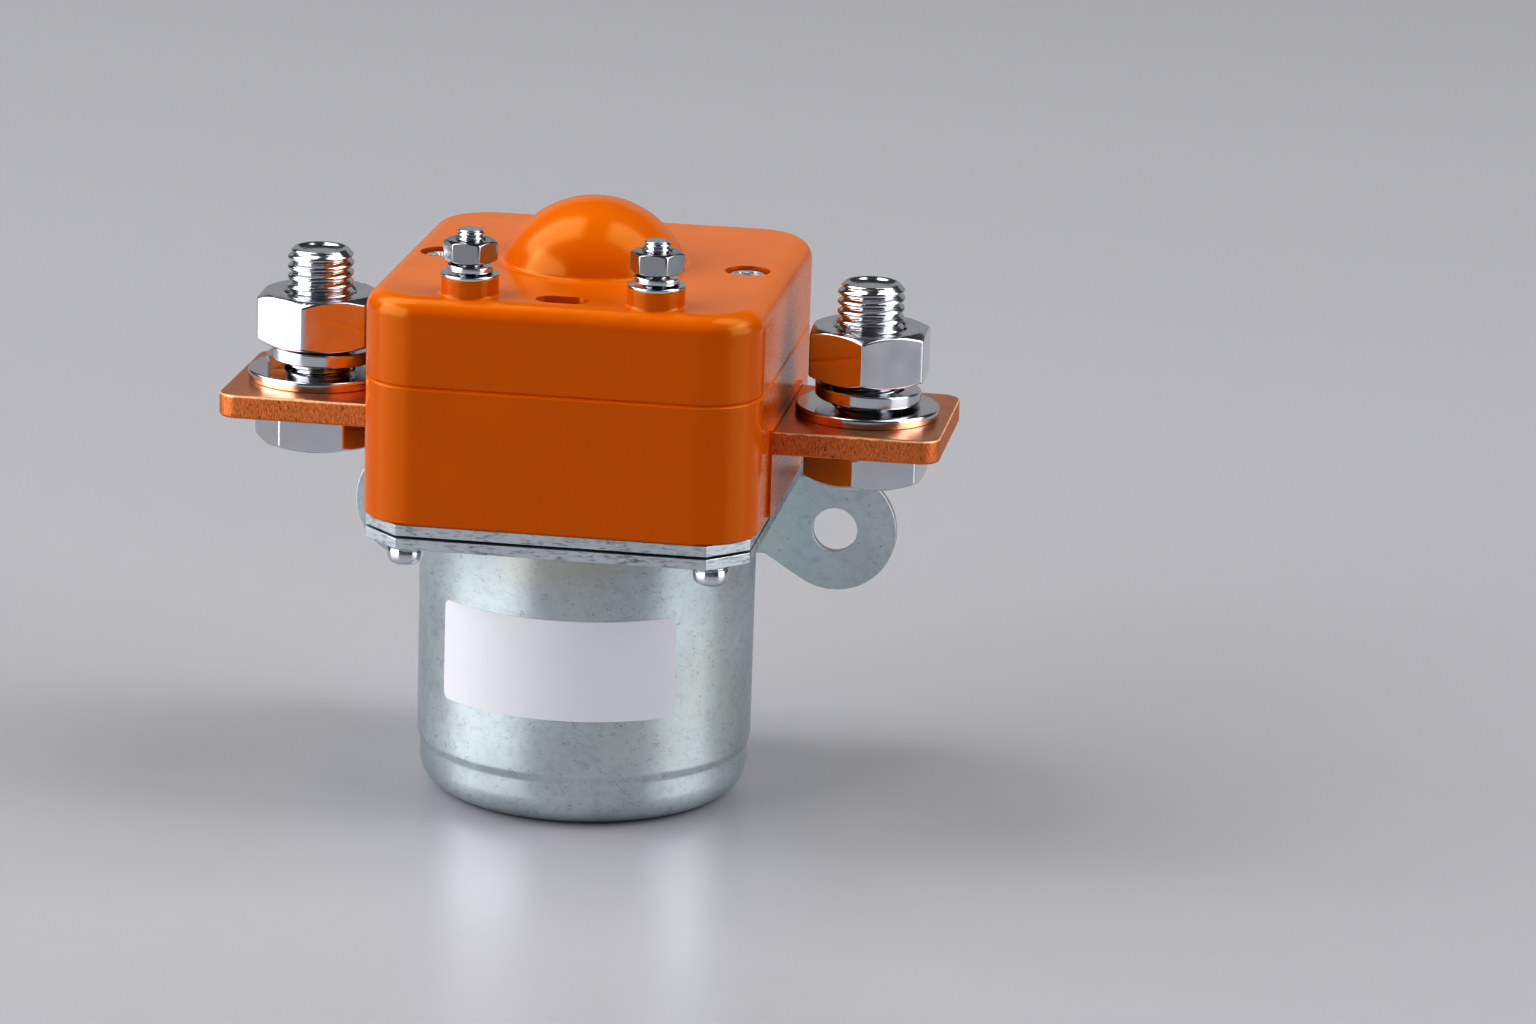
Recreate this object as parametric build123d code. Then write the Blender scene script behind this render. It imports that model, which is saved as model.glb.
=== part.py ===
from build123d import *

import math
import os

# High voltage DC contactor, in millimetres.
# The origin is the centre of the can's underside. +Z is up, the front with the coil terminals faces -Y,
# and the two copper bars leave along -X and +X.

SIDES = (-1, 1)

# Can
can_radius = 25.3
can_wall = 1.2
foot_step = 0.45
foot_height = 7.7
foot_blend = 0.6
foot_corner_radius = 4.5
step_softening = 1.5

# Folded bracket and its ears
bracket_bottom = 43.3
sheet_thickness = 1.6
can_side_margin = 3.2
plate_clip = 5.6
bend_inner_radius = 0.5
ear_centre_beyond_plate = 4.7
ear_centre_z = 33.1
ear_radius = 9.6
ear_hole_radius = 3.5
flange_lower_inset = 6.2
flange_lower_z = 28.6
weld_gap = 0.05

# Plates and gasket
gasket_thickness = 0.4
gasket_inset = 1.5
yoke_thickness = 1.6
plate_screw_side_inset = 5.8
plate_screw_front_inset = 6.3
screw_clearance = 0.2

# Housing
housing_side_overhang = 0.8
housing_front_overhang = 0.3
housing_half_depth = 32.4
housing_corner_radius = 9.2
housing_wall = 2.5
base_height = 20.7
cover_height = 13.1
cover_top_thickness = 2.4
cover_edge_radius = 3.0
base_foot_chamfer = 0.4
seam_chamfer = 0.35
tongue_height = 2.0
tongue_thickness = 1.2
tongue_clearance = 0.15

# Dome on the cover
dome_base_radius = 13.8
dome_height = 9.8
dome_wall = 2.0
dome_root_radius = 1.0

# Copper bars
bar_bottom_above_base = 9.8
bar_thickness = 3.6
bar_half_width = 15.0
bar_beyond_terminal = 12.4
bar_root_beyond_tip = 0.3
bar_corner_radius = 3.0
bar_edge_softening = 0.25
slot_clearance = 0.15
pad_height = 0.45
pad_margin = 0.9
pad_above_bar = 0.6
pad_corner_radius = 0.8

# M10 terminal hardware
washer_to_pad_gap = 1.1
m10_radius = 5.0
m10_pitch_radius = 4.51
m10_tip_z = 80.2
m10_tip_chamfer = 1.15
m10_dish_radius = 3.7
m10_dish_floor_radius = 3.2
m10_dish_depth = 0.5
m10_across_flats = 17.0
bolt_head_height = 6.3
bolt_face_height = 0.6
bolt_face_inset = 0.4
m10_nut_height = 8.0
hex_chamfer_angle = 28.0
hex_face_inset = 0.2
m10_washer_radius = 10.75
m10_washer_thickness = 1.5
m10_spring_outer_radius = 7.9
m10_spring_inner_radius = 5.3
m10_spring_thickness = 2.0
m10_spring_height = 3.9
bolt_head_turns = {-1: 30.0, 1: -7.0}
spring_washer_gap_deg = 12.0
m10_spring_starts = {-1: -150.0, 1: -47.0}
shank_clearance = 0.25
thread_clearance = 0.02

# M4 coil terminals
coil_stud_x = 13.65
coil_stud_front_inset = 6.2
m4_radius = 2.0
m4_pitch_radius = 1.77
m4_tip_chamfer = 0.55
m4_across_flats = 7.0
m4_nut_height = 3.2
m4_washer_radius = 4.3
m4_washer_thickness = 0.5
m4_spring_outer_radius = 3.2
m4_spring_inner_radius = 2.15
m4_spring_thickness = 0.9
m4_spring_height = 1.7
m4_tip_above_nut = 1.5
coil_boss_radius = 4.2
coil_boss_height = 2.7
coil_boss_root_radius = 0.5
coil_boss_edge_radius = 0.3
coil_head_radius = 3.4
coil_head_height = 2.0
coil_nut_turn = 30.0
coil_spring_start = -60.0

# Screws of the cover, one on each side
cover_screw_side_inset = 6.3
recess_radius = 3.4
recess_depth = 3.1
m3_radius = 1.5
m3_head_radius = 2.6
m3_head_height = 2.2
m3_head_edge_radius = 1.0
cross_width = 0.75
cross_length = 3.0
cross_depth = 1.1
cover_post_radius = 4.0
post_spigot_radius = 2.6
post_spigot_length = 4.7
cover_screw_length = 25.5
cover_screw_turn = 35.0

# Screws of the plates
plate_screw_washer_radius = 2.4
plate_screw_washer_thickness = 1.1
plate_screw_head_height = 2.6
plate_screw_head_edge_radius = 1.35
plate_screw_length = 14.0
plate_boss_radius = 3.4
plate_boss_height = 9.0

# Slot mark on the cover
mark_length = 7.8
mark_width = 4.4
mark_depth = 0.5
mark_front_inset = 6.0

# Label on the can
label_left_deg = -45.6
label_right_deg = 41.3
label_bottom_z = 16.9
label_height = 15.3
label_thickness = 0.12
label_corner_radius = 1.2

# Magnet system
core_radius = 9.7
core_height = 15.5
spring_pocket_radius = 4.8
core_pocket_depth = 7.0
pole_gap_closed = 0.3
stroke = 4.0
plunger_length = 29.3
plunger_pocket_depth = 8.0
plunger_running_gap = 0.3
sleeve_wall = 0.4
bobbin_gap = 0.1
bobbin_tube_wall = 1.2
bobbin_flange_gap = 0.9
bobbin_flange_thickness = 1.5
bobbin_lower_flange_z = 4.7
bobbin_top_gap = 0.3
winding_below_flange = 1.7
bumper_thickness = 0.8
bumper_inner_radius = 4.5
bumper_outer_radius = 9.0

# Rod and bridge
rod_radius = 2.5
rod_top_z = 85.4
rod_depth_in_plunger = 20.3
rod_guide_gap = 0.3
press_gap = 0.02
tip_thickness = 1.5
tip_end_margin = 0.4
tip_to_bush_gap = 2.3
contact_gap = 3.05
overtravel = 1.0
bridge_to_post_gap = 1.5
bridge_half_width = 6.5
bridge_thickness = 3.0
bridge_corner_radius = 2.0
bush_sleeve_radius = 3.9
bush_shoulder_radius = 5.6
bush_shoulder_thickness = 1.6
bush_sleeve_length = 8.0
bush_running_gap = 0.3
cup_floor = 1.0
cup_rim_height = 1.5
cup_rim_thickness = 0.6
contact_spring_length = 9.3
contact_spring_radius = 5.5
contact_spring_wire_radius = 0.7
contact_spring_turns = 4
return_spring_radius = 3.8
return_spring_wire_radius = 0.6
return_spring_turns = 6
seat_radius = 7.2
seat_thickness = 1.0
rod_nut_across_flats = 8.0
rod_nut_height = 3.4

# Turret and ribs inside the base
turret_inner_radius = 10.4
turret_wall = 1.6
turret_well_height = 4.5
turret_roof = 1.8
rib_thickness = 1.8
rib_inset = 2.5
ledge_boss_radius = 4.4

# Blow-out magnets
magnet_half_width = 8.0
magnet_thickness = 3.0
magnet_bottom_z = 55.0
magnet_height = 10.0
magnet_clearance = 0.1
magnet_rib_thickness = 1.2
magnet_sill_thickness = 1.4

# Coil leads
lead_radius = 0.9
lead_inside_flange = 2.0
lead_angle_deg = 55.5
lead_hole_clearance = 0.7
lead_straight_above_floor = 6.0
lead_end_behind_stud = 1.8
lead_knee_below_head = 9.0

# Places that follow
plate_half_width = can_radius + can_side_margin
housing_half_width = plate_half_width + housing_side_overhang
plate_half_depth = housing_half_depth - housing_front_overhang
ear_centre_x = plate_half_width + ear_centre_beyond_plate
flange_lower_half_width = plate_half_width - flange_lower_inset
plate_screw_x = plate_half_width - plate_screw_side_inset
plate_screw_y = plate_half_depth - plate_screw_front_inset
terminal_x = housing_half_width + pad_height + washer_to_pad_gap + m10_washer_radius
bar_tip_x = terminal_x + bar_beyond_terminal
cover_screw_x = housing_half_width - cover_screw_side_inset
coil_stud_y = coil_stud_front_inset - housing_half_depth
mark_y = mark_front_inset - housing_half_depth
bobbin_flange_radius = can_radius - can_wall - bobbin_flange_gap
winding_radius = bobbin_flange_radius - winding_below_flange
lead_ring_radius = bobbin_flange_radius - lead_inside_flange
lead_x = lead_ring_radius * math.cos(math.radians(lead_angle_deg))
lead_y = -lead_ring_radius * math.sin(math.radians(lead_angle_deg))
lead_end_y = coil_stud_y + lead_end_behind_stud
rib_y = bar_half_width - rib_inset
bridge_half_length = cover_screw_x - cover_post_radius - bridge_to_post_gap
tip_inner_x = bush_shoulder_radius + tip_to_bush_gap
tip_outer_x = bridge_half_length - tip_end_margin
tip_x = (tip_outer_x + tip_inner_x) / 2
tip_radius = (tip_outer_x - tip_inner_x) / 2
bar_root_x = tip_inner_x - bar_root_beyond_tip

# Heights that follow
bracket_top = bracket_bottom + sheet_thickness
yoke_bottom = bracket_top + gasket_thickness
yoke_top = yoke_bottom + yoke_thickness
seam_z = yoke_top + base_height
cover_top = seam_z + cover_height
cover_ceiling = cover_top - cover_top_thickness
floor_top = yoke_top + housing_wall
bar_bottom = yoke_top + bar_bottom_above_base
bar_top = bar_bottom + bar_thickness
recess_floor = cover_top - recess_depth
turret_roof_z = yoke_top + turret_well_height
core_top = can_wall + core_height
plunger_bottom = core_top + pole_gap_closed + stroke
plunger_top = plunger_bottom + plunger_length
bridge_bottom = bar_top + 2 * tip_thickness + contact_gap
bridge_top = bridge_bottom + bridge_thickness
seat_bottom = bridge_top + cup_floor + contact_spring_length
seat_top = seat_bottom + seat_thickness
m10_washer_top = bar_top + m10_washer_thickness
m10_nut_bottom = m10_washer_top + m10_spring_height
coil_boss_top = cover_top + coil_boss_height
m4_washer_top = coil_boss_top + m4_washer_thickness
m4_nut_bottom = m4_washer_top + m4_spring_height
m4_tip_z = m4_nut_bottom + m4_nut_height + m4_tip_above_nut
cavity_half_width = housing_half_width - housing_wall
cavity_half_depth = housing_half_depth - housing_wall
cavity_corner_radius = housing_corner_radius - housing_wall
foot_radius = can_radius - foot_step

# A cutter runs this far past the faces it opens.
past = 1.0
# Two places nearer than this are one.
same_place = 0.001


# Basic solids

def disc(radius, low, high, x=0.0, y=0.0):
    return Pos(x, y, (low + high) / 2) * Cylinder(radius, high - low)


def ring(outer, inner, low, high, x=0.0, y=0.0):
    return disc(outer, low, high, x, y) - disc(inner, low - past, high + past, x, y)


def block(x_range, y_range, z_range):
    sizes = [high - low for low, high in (x_range, y_range, z_range)]
    middles = [(high + low) / 2 for low, high in (x_range, y_range, z_range)]
    return Pos(*middles) * Box(*sizes)


def rounded_slab(half_width, half_depth, corner, low, high, x=0.0, y=0.0):
    outline = RectangleRounded(2 * half_width, 2 * half_depth, corner)
    return Pos(x, y, low) * extrude(outline, high - low)


def turned(points):
    """A solid of revolution about Z; a point is (radius, z) or (radius, z, corner radius)."""
    edges = []
    count = len(points)
    ends = []
    for index, point in enumerate(points):
        here = Vector(point[0], 0, point[1])
        corner = point[2] if len(point) > 2 else 0.0
        before = Vector(points[index - 1][0], 0, points[index - 1][1])
        after = Vector(points[(index + 1) % count][0], 0, points[(index + 1) % count][1])
        if corner:
            back = (before - here).normalized()
            on = (after - here).normalized()
            half = back.get_angle(on) / 2
            reach = corner / math.tan(math.radians(half))
            middle = (back + on).normalized() * (corner / math.sin(math.radians(half)) - corner)
            ends.append((here + back * reach, here + middle, here + on * reach))
        else:
            ends.append((here, None, here))
    for index, (start, middle, stop) in enumerate(ends):
        if middle is not None:
            edges.append(ThreePointArc(start, middle, stop))
        following = ends[(index + 1) % count][0]
        if (following - stop).length > 1e-6:
            edges.append(Line(stop, following))
    return revolve(make_face(edges), Axis.Z, 360)


def clipped_plate(half_width, front, back, clip, low, high, clip_back=True):
    """A plate with clipped corners, in front only or on all sides."""
    rear_clip = clip if clip_back else 0.0
    corners = [
        (-half_width + clip, front), (half_width - clip, front), (half_width, front + clip),
        (half_width, back - rear_clip), (half_width - rear_clip, back),
        (-half_width + rear_clip, back), (-half_width, back - rear_clip), (-half_width, front + clip),
    ]
    unique = [corner for index, corner in enumerate(corners) if corner != corners[index - 1]]
    return Pos(0, 0, low) * extrude(make_face(Polyline(*unique, close=True)), high - low)


def hexagon(across_flats, low, high, chamfered_low, chamfered_high, turn=0.0):
    """A hexagonal prism, one corner towards -Y at no turn, with the usual chamfer on its corners."""
    corner_radius = across_flats / math.sqrt(3)
    body = Pos(0, 0, low) * extrude(Rot(0, 0, 90 + turn) * RegularPolygon(corner_radius, 6), high - low)
    face_radius = across_flats / 2 - hex_face_inset
    rise = (corner_radius - face_radius) * math.tan(math.radians(hex_chamfer_angle))
    profile = [(0, low)]
    profile += [(face_radius, low), (corner_radius, low + rise)] if chamfered_low else [(corner_radius, low)]
    profile += [(corner_radius, high - rise), (face_radius, high)] if chamfered_high else [(corner_radius, high)]
    profile += [(0, high)]
    return body & turned(profile)


def split_washer(inner, outer, thickness, height, low, start_deg):
    """One turn of a square-cut helix with a small gap, lowest at its start."""
    fraction = 1 - spring_washer_gap_deg / 360
    mean = (inner + outer) / 2
    rise = height - thickness
    path = Helix(pitch=rise / fraction, height=rise, radius=mean)
    section = Plane.XZ * Pos(mean, 0, 0) * Rectangle(outer - inner, thickness)
    turn = sweep(section, path=path, is_frenet=True)
    return Pos(0, 0, low + thickness / 2) * Rot(0, 0, start_deg) * turn


def coil_spring(mean_radius, wire_radius, turns, low, high):
    length = high - low - 2 * wire_radius
    path = Helix(pitch=length / turns, height=length, radius=mean_radius)
    section = Plane(path @ 0, z_dir=path % 0) * Circle(wire_radius)
    return Pos(0, 0, low + wire_radius) * sweep(section, path=path, is_frenet=True)


def pan_screw(head_radius, head_height, edge_radius, length, tip_radius):
    """A cross-recess screw pointing down, with the underside of its head at z = 0."""
    head = turned([(0, 0), (head_radius, 0), (head_radius, head_height, edge_radius), (0, head_height)])
    recess_low = head_height - cross_depth
    for long_side, short_side in ((cross_length, cross_width), (cross_width, cross_length)):
        head -= block((-long_side / 2, long_side / 2), (-short_side / 2, short_side / 2),
                      (recess_low, head_height + past))
    return head + disc(tip_radius, -length, 0)


def edges_along_x(solid, y, z):
    return solid.edges().filter_by(Axis.X).filter_by(
        lambda edge: math.hypot(edge.center().Y - y, edge.center().Z - z) < same_place)


def circles_at(solid, radius, z):
    return solid.edges().filter_by(GeomType.CIRCLE).filter_by(
        lambda edge: math.hypot(edge.radius - radius, edge.center().Z - z) < same_place)


def at_each(solid, places):
    return Compound(children=[Pos(*place) * solid for place in places])


plate_screw_places = [(x * plate_screw_x, y * plate_screw_y) for x in SIDES for y in SIDES]


# Steel parts below the housing

def make_can():
    def shell(inset, floor, top):
        corner = foot_corner_radius - inset
        return turned([
            (0, floor),
            (foot_radius - inset, floor, corner),
            (foot_radius - inset, foot_height - foot_blend, step_softening),
            (can_radius - inset, foot_height + foot_blend, step_softening),
            (can_radius - inset, top),
            (0, top),
        ])
    return shell(0, 0, bracket_top) - shell(can_wall, can_wall, bracket_top + past)


def make_bracket():
    flange_back = plate_half_depth + sheet_thickness
    plate = clipped_plate(plate_half_width, -plate_half_depth, flange_back, plate_clip,
                          bracket_bottom, bracket_top, clip_back=False)
    # The flange hangs from the plate's rear edge; its outline is drawn in X and Z.
    ear = Vector(ear_centre_x, ear_centre_z)
    inner = Vector(flange_lower_half_width, flange_lower_z)
    reach = (ear - inner).length
    slope = math.atan2(ear.Y - inner.Y, ear.X - inner.X) - math.asin(ear_radius / reach)
    touch = inner + Vector(math.cos(slope), math.sin(slope)) * math.sqrt(reach**2 - ear_radius**2)
    ear_top = (ear_centre_x, ear_centre_z + ear_radius)
    ear_side = (ear_centre_x + ear_radius, ear_centre_z)
    lower = (flange_lower_half_width, flange_lower_z)
    half_outline = [
        Line((0, bracket_top), (plate_half_width, bracket_top)),
        Line((plate_half_width, bracket_top), (plate_half_width, ear_top[1])),
        Line((plate_half_width, ear_top[1]), ear_top),
        ThreePointArc(ear_top, ear_side, (touch.X, touch.Y)),
        Line((touch.X, touch.Y), lower),
        Line(lower, (0, flange_lower_z)),
        Line((0, flange_lower_z), (0, bracket_top)),
    ]
    half = make_face(half_outline) - Pos(ear_centre_x, ear_centre_z) * Circle(ear_hole_radius)
    flat = half + mirror(half, Plane.YZ)
    flange = extrude(Plane((0, plate_half_depth, 0), x_dir=(1, 0, 0), z_dir=(0, -1, 0)) * flat,
                     -sheet_thickness)
    bracket = plate + flange
    bracket = fillet(edges_along_x(bracket, plate_half_depth, bracket_bottom), bend_inner_radius)
    bracket = fillet(edges_along_x(bracket, flange_back, bracket_top), bend_inner_radius + sheet_thickness)
    bracket -= disc(can_radius + weld_gap, bracket_bottom - past, bracket_top + past)
    for x, y in plate_screw_places:
        bracket -= disc(m3_radius + screw_clearance, bracket_bottom - past, bracket_top + past, x, y)
    return bracket


def make_gasket():
    gasket = clipped_plate(plate_half_width - gasket_inset, -plate_half_depth + gasket_inset,
                           plate_half_depth - gasket_inset, plate_clip, bracket_top, yoke_bottom)
    gasket -= disc(can_radius - can_wall, bracket_top - past, yoke_bottom + past)
    for x, y in plate_screw_places:
        gasket -= disc(m3_radius + screw_clearance, bracket_top - past, yoke_bottom + past, x, y)
    return gasket


def make_yoke():
    yoke = clipped_plate(plate_half_width, -plate_half_depth, plate_half_depth, plate_clip,
                         yoke_bottom, yoke_top)
    yoke -= disc(core_radius + plunger_running_gap, yoke_bottom - past, yoke_top + past)
    for x, y in plate_screw_places:
        yoke -= disc(m3_radius + screw_clearance, yoke_bottom - past, yoke_top + past, x, y)
    for side in SIDES:
        yoke -= disc(lead_radius + lead_hole_clearance, yoke_bottom - past, yoke_top + past,
                     side * lead_x, lead_y)
    return yoke


def make_plate_screws():
    screw = pan_screw(m3_head_radius, plate_screw_head_height, plate_screw_head_edge_radius,
                      plate_screw_length, m3_radius)
    under_head = bracket_bottom - plate_screw_washer_thickness
    return at_each(Pos(0, 0, under_head) * Rot(180, 0, 0) * screw, plate_screw_places)


def make_plate_screw_washers():
    washer = ring(plate_screw_washer_radius, m3_radius + screw_clearance,
                  bracket_bottom - plate_screw_washer_thickness, bracket_bottom)
    return at_each(washer, plate_screw_places)


# Orange housing

def make_base():
    outer = rounded_slab(housing_half_width, housing_half_depth, housing_corner_radius, yoke_top, seam_z)
    outer = chamfer(outer.faces().sort_by(Axis.Z)[-1].edges(), seam_chamfer)
    outer = chamfer(outer.faces().sort_by(Axis.Z)[0].edges(), base_foot_chamfer)
    pad_low = yoke_top + base_foot_chamfer
    pad_high = bar_top + pad_above_bar
    pad_outline = RectangleRounded(2 * (bar_half_width + pad_margin), pad_high - pad_low, pad_corner_radius)
    for side in SIDES:
        wall = Plane((side * housing_half_width, 0, (pad_low + pad_high) / 2), x_dir=(0, 1, 0),
                     z_dir=(side, 0, 0))
        outer += extrude(wall * pad_outline, pad_height)
    base = outer - rounded_slab(cavity_half_width, cavity_half_depth, cavity_corner_radius,
                                floor_top, seam_z + past)
    cavity = rounded_slab(cavity_half_width + housing_wall / 2, cavity_half_depth + housing_wall / 2,
                          cavity_corner_radius, floor_top - housing_wall / 2, seam_z)
    # Inner walls: turret over the plunger, bosses, ribs under the bars and pockets for the magnets.
    inner = disc(turret_inner_radius + turret_wall, yoke_top, turret_roof_z + turret_roof)
    for x, y in plate_screw_places:
        inner += disc(plate_boss_radius, yoke_top, yoke_top + plate_boss_height, x, y)
    for side in SIDES:
        reach = (turret_inner_radius, cavity_half_width + housing_wall / 2)
        span = tuple(sorted(side * value for value in reach))
        for y in (-rib_y, 0.0, rib_y):
            inner += block(span, (y - rib_thickness / 2, y + rib_thickness / 2), (floor_top, bar_bottom))
        inner += disc(ledge_boss_radius, yoke_top, bar_bottom, side * cover_screw_x)
        magnet_side = (cavity_half_depth - magnet_thickness - magnet_clearance, cavity_half_depth + past)
        depth = tuple(sorted(side * value for value in magnet_side))
        pocket = magnet_half_width + magnet_clearance
        magnet_top = magnet_bottom_z + magnet_height
        for hand in SIDES:
            wide = tuple(sorted((hand * pocket, hand * (pocket + magnet_rib_thickness))))
            inner += block(wide, depth, (floor_top, magnet_top))
        inner += block((-pocket, pocket), depth, (magnet_bottom_z - magnet_sill_thickness, magnet_bottom_z))
    base += inner & cavity
    base -= disc(turret_inner_radius, yoke_top - past, turret_roof_z)
    base -= disc(rod_radius + rod_guide_gap, yoke_top - past, turret_roof_z + turret_roof + past)
    for x, y in plate_screw_places:
        base -= disc(m3_radius + thread_clearance, yoke_top - past,
                     bracket_bottom - plate_screw_washer_thickness + plate_screw_length + past, x, y)
    for side in SIDES:
        x = side * cover_screw_x
        base -= disc(post_spigot_radius + slot_clearance, bar_top - post_spigot_length - slot_clearance,
                     bar_top + past, x)
        base -= disc(m3_radius + thread_clearance, recess_floor - cover_screw_length - past, bar_top, x)
        base -= block(tuple(sorted((side * (cavity_half_width - past), side * (housing_half_width + past)))),
                      (-bar_half_width - slot_clearance, bar_half_width + slot_clearance),
                      (bar_bottom, bar_top + slot_clearance))
        base -= disc(lead_radius + lead_hole_clearance, yoke_top - past, floor_top + past,
                     side * lead_x, lead_y)
    return base


def make_cover():
    outer = rounded_slab(housing_half_width, housing_half_depth, housing_corner_radius, seam_z, cover_top)
    outer = fillet(outer.faces().sort_by(Axis.Z)[-1].edges(), cover_edge_radius)
    outer = chamfer(outer.faces().sort_by(Axis.Z)[0].edges(), seam_chamfer)
    sphere_radius = (dome_base_radius**2 + dome_height**2) / (2 * dome_height)
    sphere_centre = cover_top + dome_height - sphere_radius
    dome = Pos(0, 0, sphere_centre) * Sphere(sphere_radius)
    top_space = block((-dome_base_radius - past, dome_base_radius + past),
                      (-dome_base_radius - past, dome_base_radius + past),
                      (cover_top - cover_top_thickness / 2, cover_top + dome_height + past))
    outer += dome & top_space
    outer = fillet(circles_at(outer, dome_base_radius, cover_top), dome_root_radius)
    for side in SIDES:
        boss = disc(coil_boss_radius, cover_top - cover_top_thickness / 2, coil_boss_top,
                    side * coil_stud_x, coil_stud_y)
        boss = fillet(boss.edges().sort_by(Axis.Z)[-1], coil_boss_edge_radius)
        outer += boss
    outer = fillet(circles_at(outer, coil_boss_radius, cover_top), coil_boss_root_radius)
    cover = outer - rounded_slab(cavity_half_width, cavity_half_depth, cavity_corner_radius,
                                 seam_z - past, cover_ceiling)
    cover -= Pos(0, 0, sphere_centre) * Sphere(sphere_radius - dome_wall)
    # A tongue reaches down inside the base's rim.
    fit = tongue_clearance
    tongue = rounded_slab(cavity_half_width - fit, cavity_half_depth - fit, cavity_corner_radius - fit,
                          seam_z - tongue_height, seam_z + tongue_height)
    hollow = fit + tongue_thickness
    tongue -= rounded_slab(cavity_half_width - hollow, cavity_half_depth - hollow,
                           cavity_corner_radius - hollow, seam_z - tongue_height - past,
                           seam_z + tongue_height + past)
    link = rounded_slab(cavity_half_width + past / 2, cavity_half_depth + past / 2, cavity_corner_radius,
                        seam_z + tongue_height / 2, seam_z + tongue_height)
    link -= rounded_slab(cavity_half_width - hollow, cavity_half_depth - hollow,
                         cavity_corner_radius - hollow, seam_z - past, seam_z + tongue_height + past)
    cover += tongue
    cover += link
    # Posts take the cover screws down to the bars, which they clamp; a spigot lines each bar's hole.
    below = rounded_slab(cavity_half_width - fit, cavity_half_depth - fit, cavity_corner_radius - fit,
                         bar_bottom - past, seam_z)
    for side in SIDES:
        x = side * cover_screw_x
        cover += disc(cover_post_radius, bar_top, seam_z, x) & below
        cover += disc(cover_post_radius, seam_z, cover_top - cover_top_thickness / 2, x)
        cover += disc(post_spigot_radius, bar_top - post_spigot_length, bar_top, x)
        cover -= disc(recess_radius, recess_floor, cover_top + past, x)
        cover -= disc(m3_radius + screw_clearance / 2, bar_top - post_spigot_length - past,
                      recess_floor + past, x)
        cover -= disc(m4_radius + screw_clearance / 2, cover_ceiling - past, coil_boss_top + past,
                      side * coil_stud_x, coil_stud_y)
    mark = extrude(SlotOverall(mark_length, mark_width), mark_depth + past)
    return cover - Pos(0, mark_y, cover_top - mark_depth) * mark


def make_cover_screws():
    screw = pan_screw(m3_head_radius, m3_head_height, m3_head_edge_radius, cover_screw_length, m3_radius)
    turned_screw = Pos(0, 0, recess_floor) * Rot(0, 0, cover_screw_turn) * screw
    return at_each(turned_screw, [(side * cover_screw_x, 0) for side in SIDES])


# Main terminals

def make_bar(side):
    outline = RectangleRounded(2 * bar_tip_x, 2 * bar_half_width, bar_corner_radius)
    bar = Pos(0, 0, bar_bottom) * extrude(outline, bar_thickness)
    keep = tuple(sorted((side * bar_root_x, side * (bar_tip_x + past))))
    bar &= block(keep, (-bar_half_width - past, bar_half_width + past), (bar_bottom - past, bar_top + past))
    rims = bar.faces().sort_by(Axis.Z)
    bar = chamfer(rims[-1].edges() + rims[0].edges(), bar_edge_softening)
    bar -= disc(m10_radius + shank_clearance, bar_bottom - past, bar_top + past, side * terminal_x)
    bar -= disc(post_spigot_radius + slot_clearance, bar_bottom - past, bar_top + past, side * cover_screw_x)
    return bar


def make_terminal_bolt(side):
    head_low = bar_bottom - bolt_head_height
    head_top = bar_bottom - bolt_face_height
    head = hexagon(m10_across_flats, head_low, head_top, True, True, bolt_head_turns[side])
    head += disc(m10_across_flats / 2 - bolt_face_inset, head_top - past, bar_bottom)
    # Inside the nut the thread stands at its pitch radius, outside it at its crests.
    nut_top = m10_nut_bottom + m10_nut_height
    shank = turned([(0, bar_bottom - past), (m10_radius, bar_bottom - past),
                    (m10_radius, m10_nut_bottom), (m10_pitch_radius, m10_nut_bottom),
                    (m10_pitch_radius, nut_top), (m10_radius, nut_top),
                    (m10_radius, m10_tip_z - m10_tip_chamfer),
                    (m10_radius - m10_tip_chamfer, m10_tip_z), (m10_dish_radius, m10_tip_z),
                    (m10_dish_floor_radius, m10_tip_z - m10_dish_depth), (0, m10_tip_z - m10_dish_depth)])
    return Pos(side * terminal_x, 0, 0) * (head + shank)


def terminal_places():
    return [(side * terminal_x, 0) for side in SIDES]


def make_terminal_washers():
    washer = ring(m10_washer_radius, m10_radius + shank_clearance, bar_top, m10_washer_top)
    return at_each(washer, terminal_places())


def make_terminal_spring_washers():
    return Compound(children=[
        Pos(side * terminal_x, 0, 0) * split_washer(
            m10_spring_inner_radius, m10_spring_outer_radius, m10_spring_thickness,
            m10_spring_height, m10_washer_top, m10_spring_starts[side])
        for side in SIDES])


def make_terminal_nuts():
    high = m10_nut_bottom + m10_nut_height
    nut = hexagon(m10_across_flats, m10_nut_bottom, high, True, True)
    nut -= disc(m10_pitch_radius + thread_clearance, m10_nut_bottom - past, high + past)
    return at_each(nut, terminal_places())


# Coil terminals

def coil_places():
    return [(side * coil_stud_x, coil_stud_y) for side in SIDES]


def make_coil_stud(side):
    head_low = cover_ceiling - coil_head_height
    nut_top = m4_nut_bottom + m4_nut_height
    stud = turned([(0, head_low), (coil_head_radius, head_low), (coil_head_radius, cover_ceiling),
                   (m4_radius, cover_ceiling), (m4_radius, m4_nut_bottom),
                   (m4_pitch_radius, m4_nut_bottom), (m4_pitch_radius, nut_top), (m4_radius, nut_top),
                   (m4_radius, m4_tip_z - m4_tip_chamfer), (m4_radius - m4_tip_chamfer, m4_tip_z),
                   (0, m4_tip_z)])
    return Pos(side * coil_stud_x, coil_stud_y, 0) * stud


def make_coil_washers():
    washer = ring(m4_washer_radius, m4_spring_inner_radius, coil_boss_top, m4_washer_top)
    return at_each(washer, coil_places())


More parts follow.
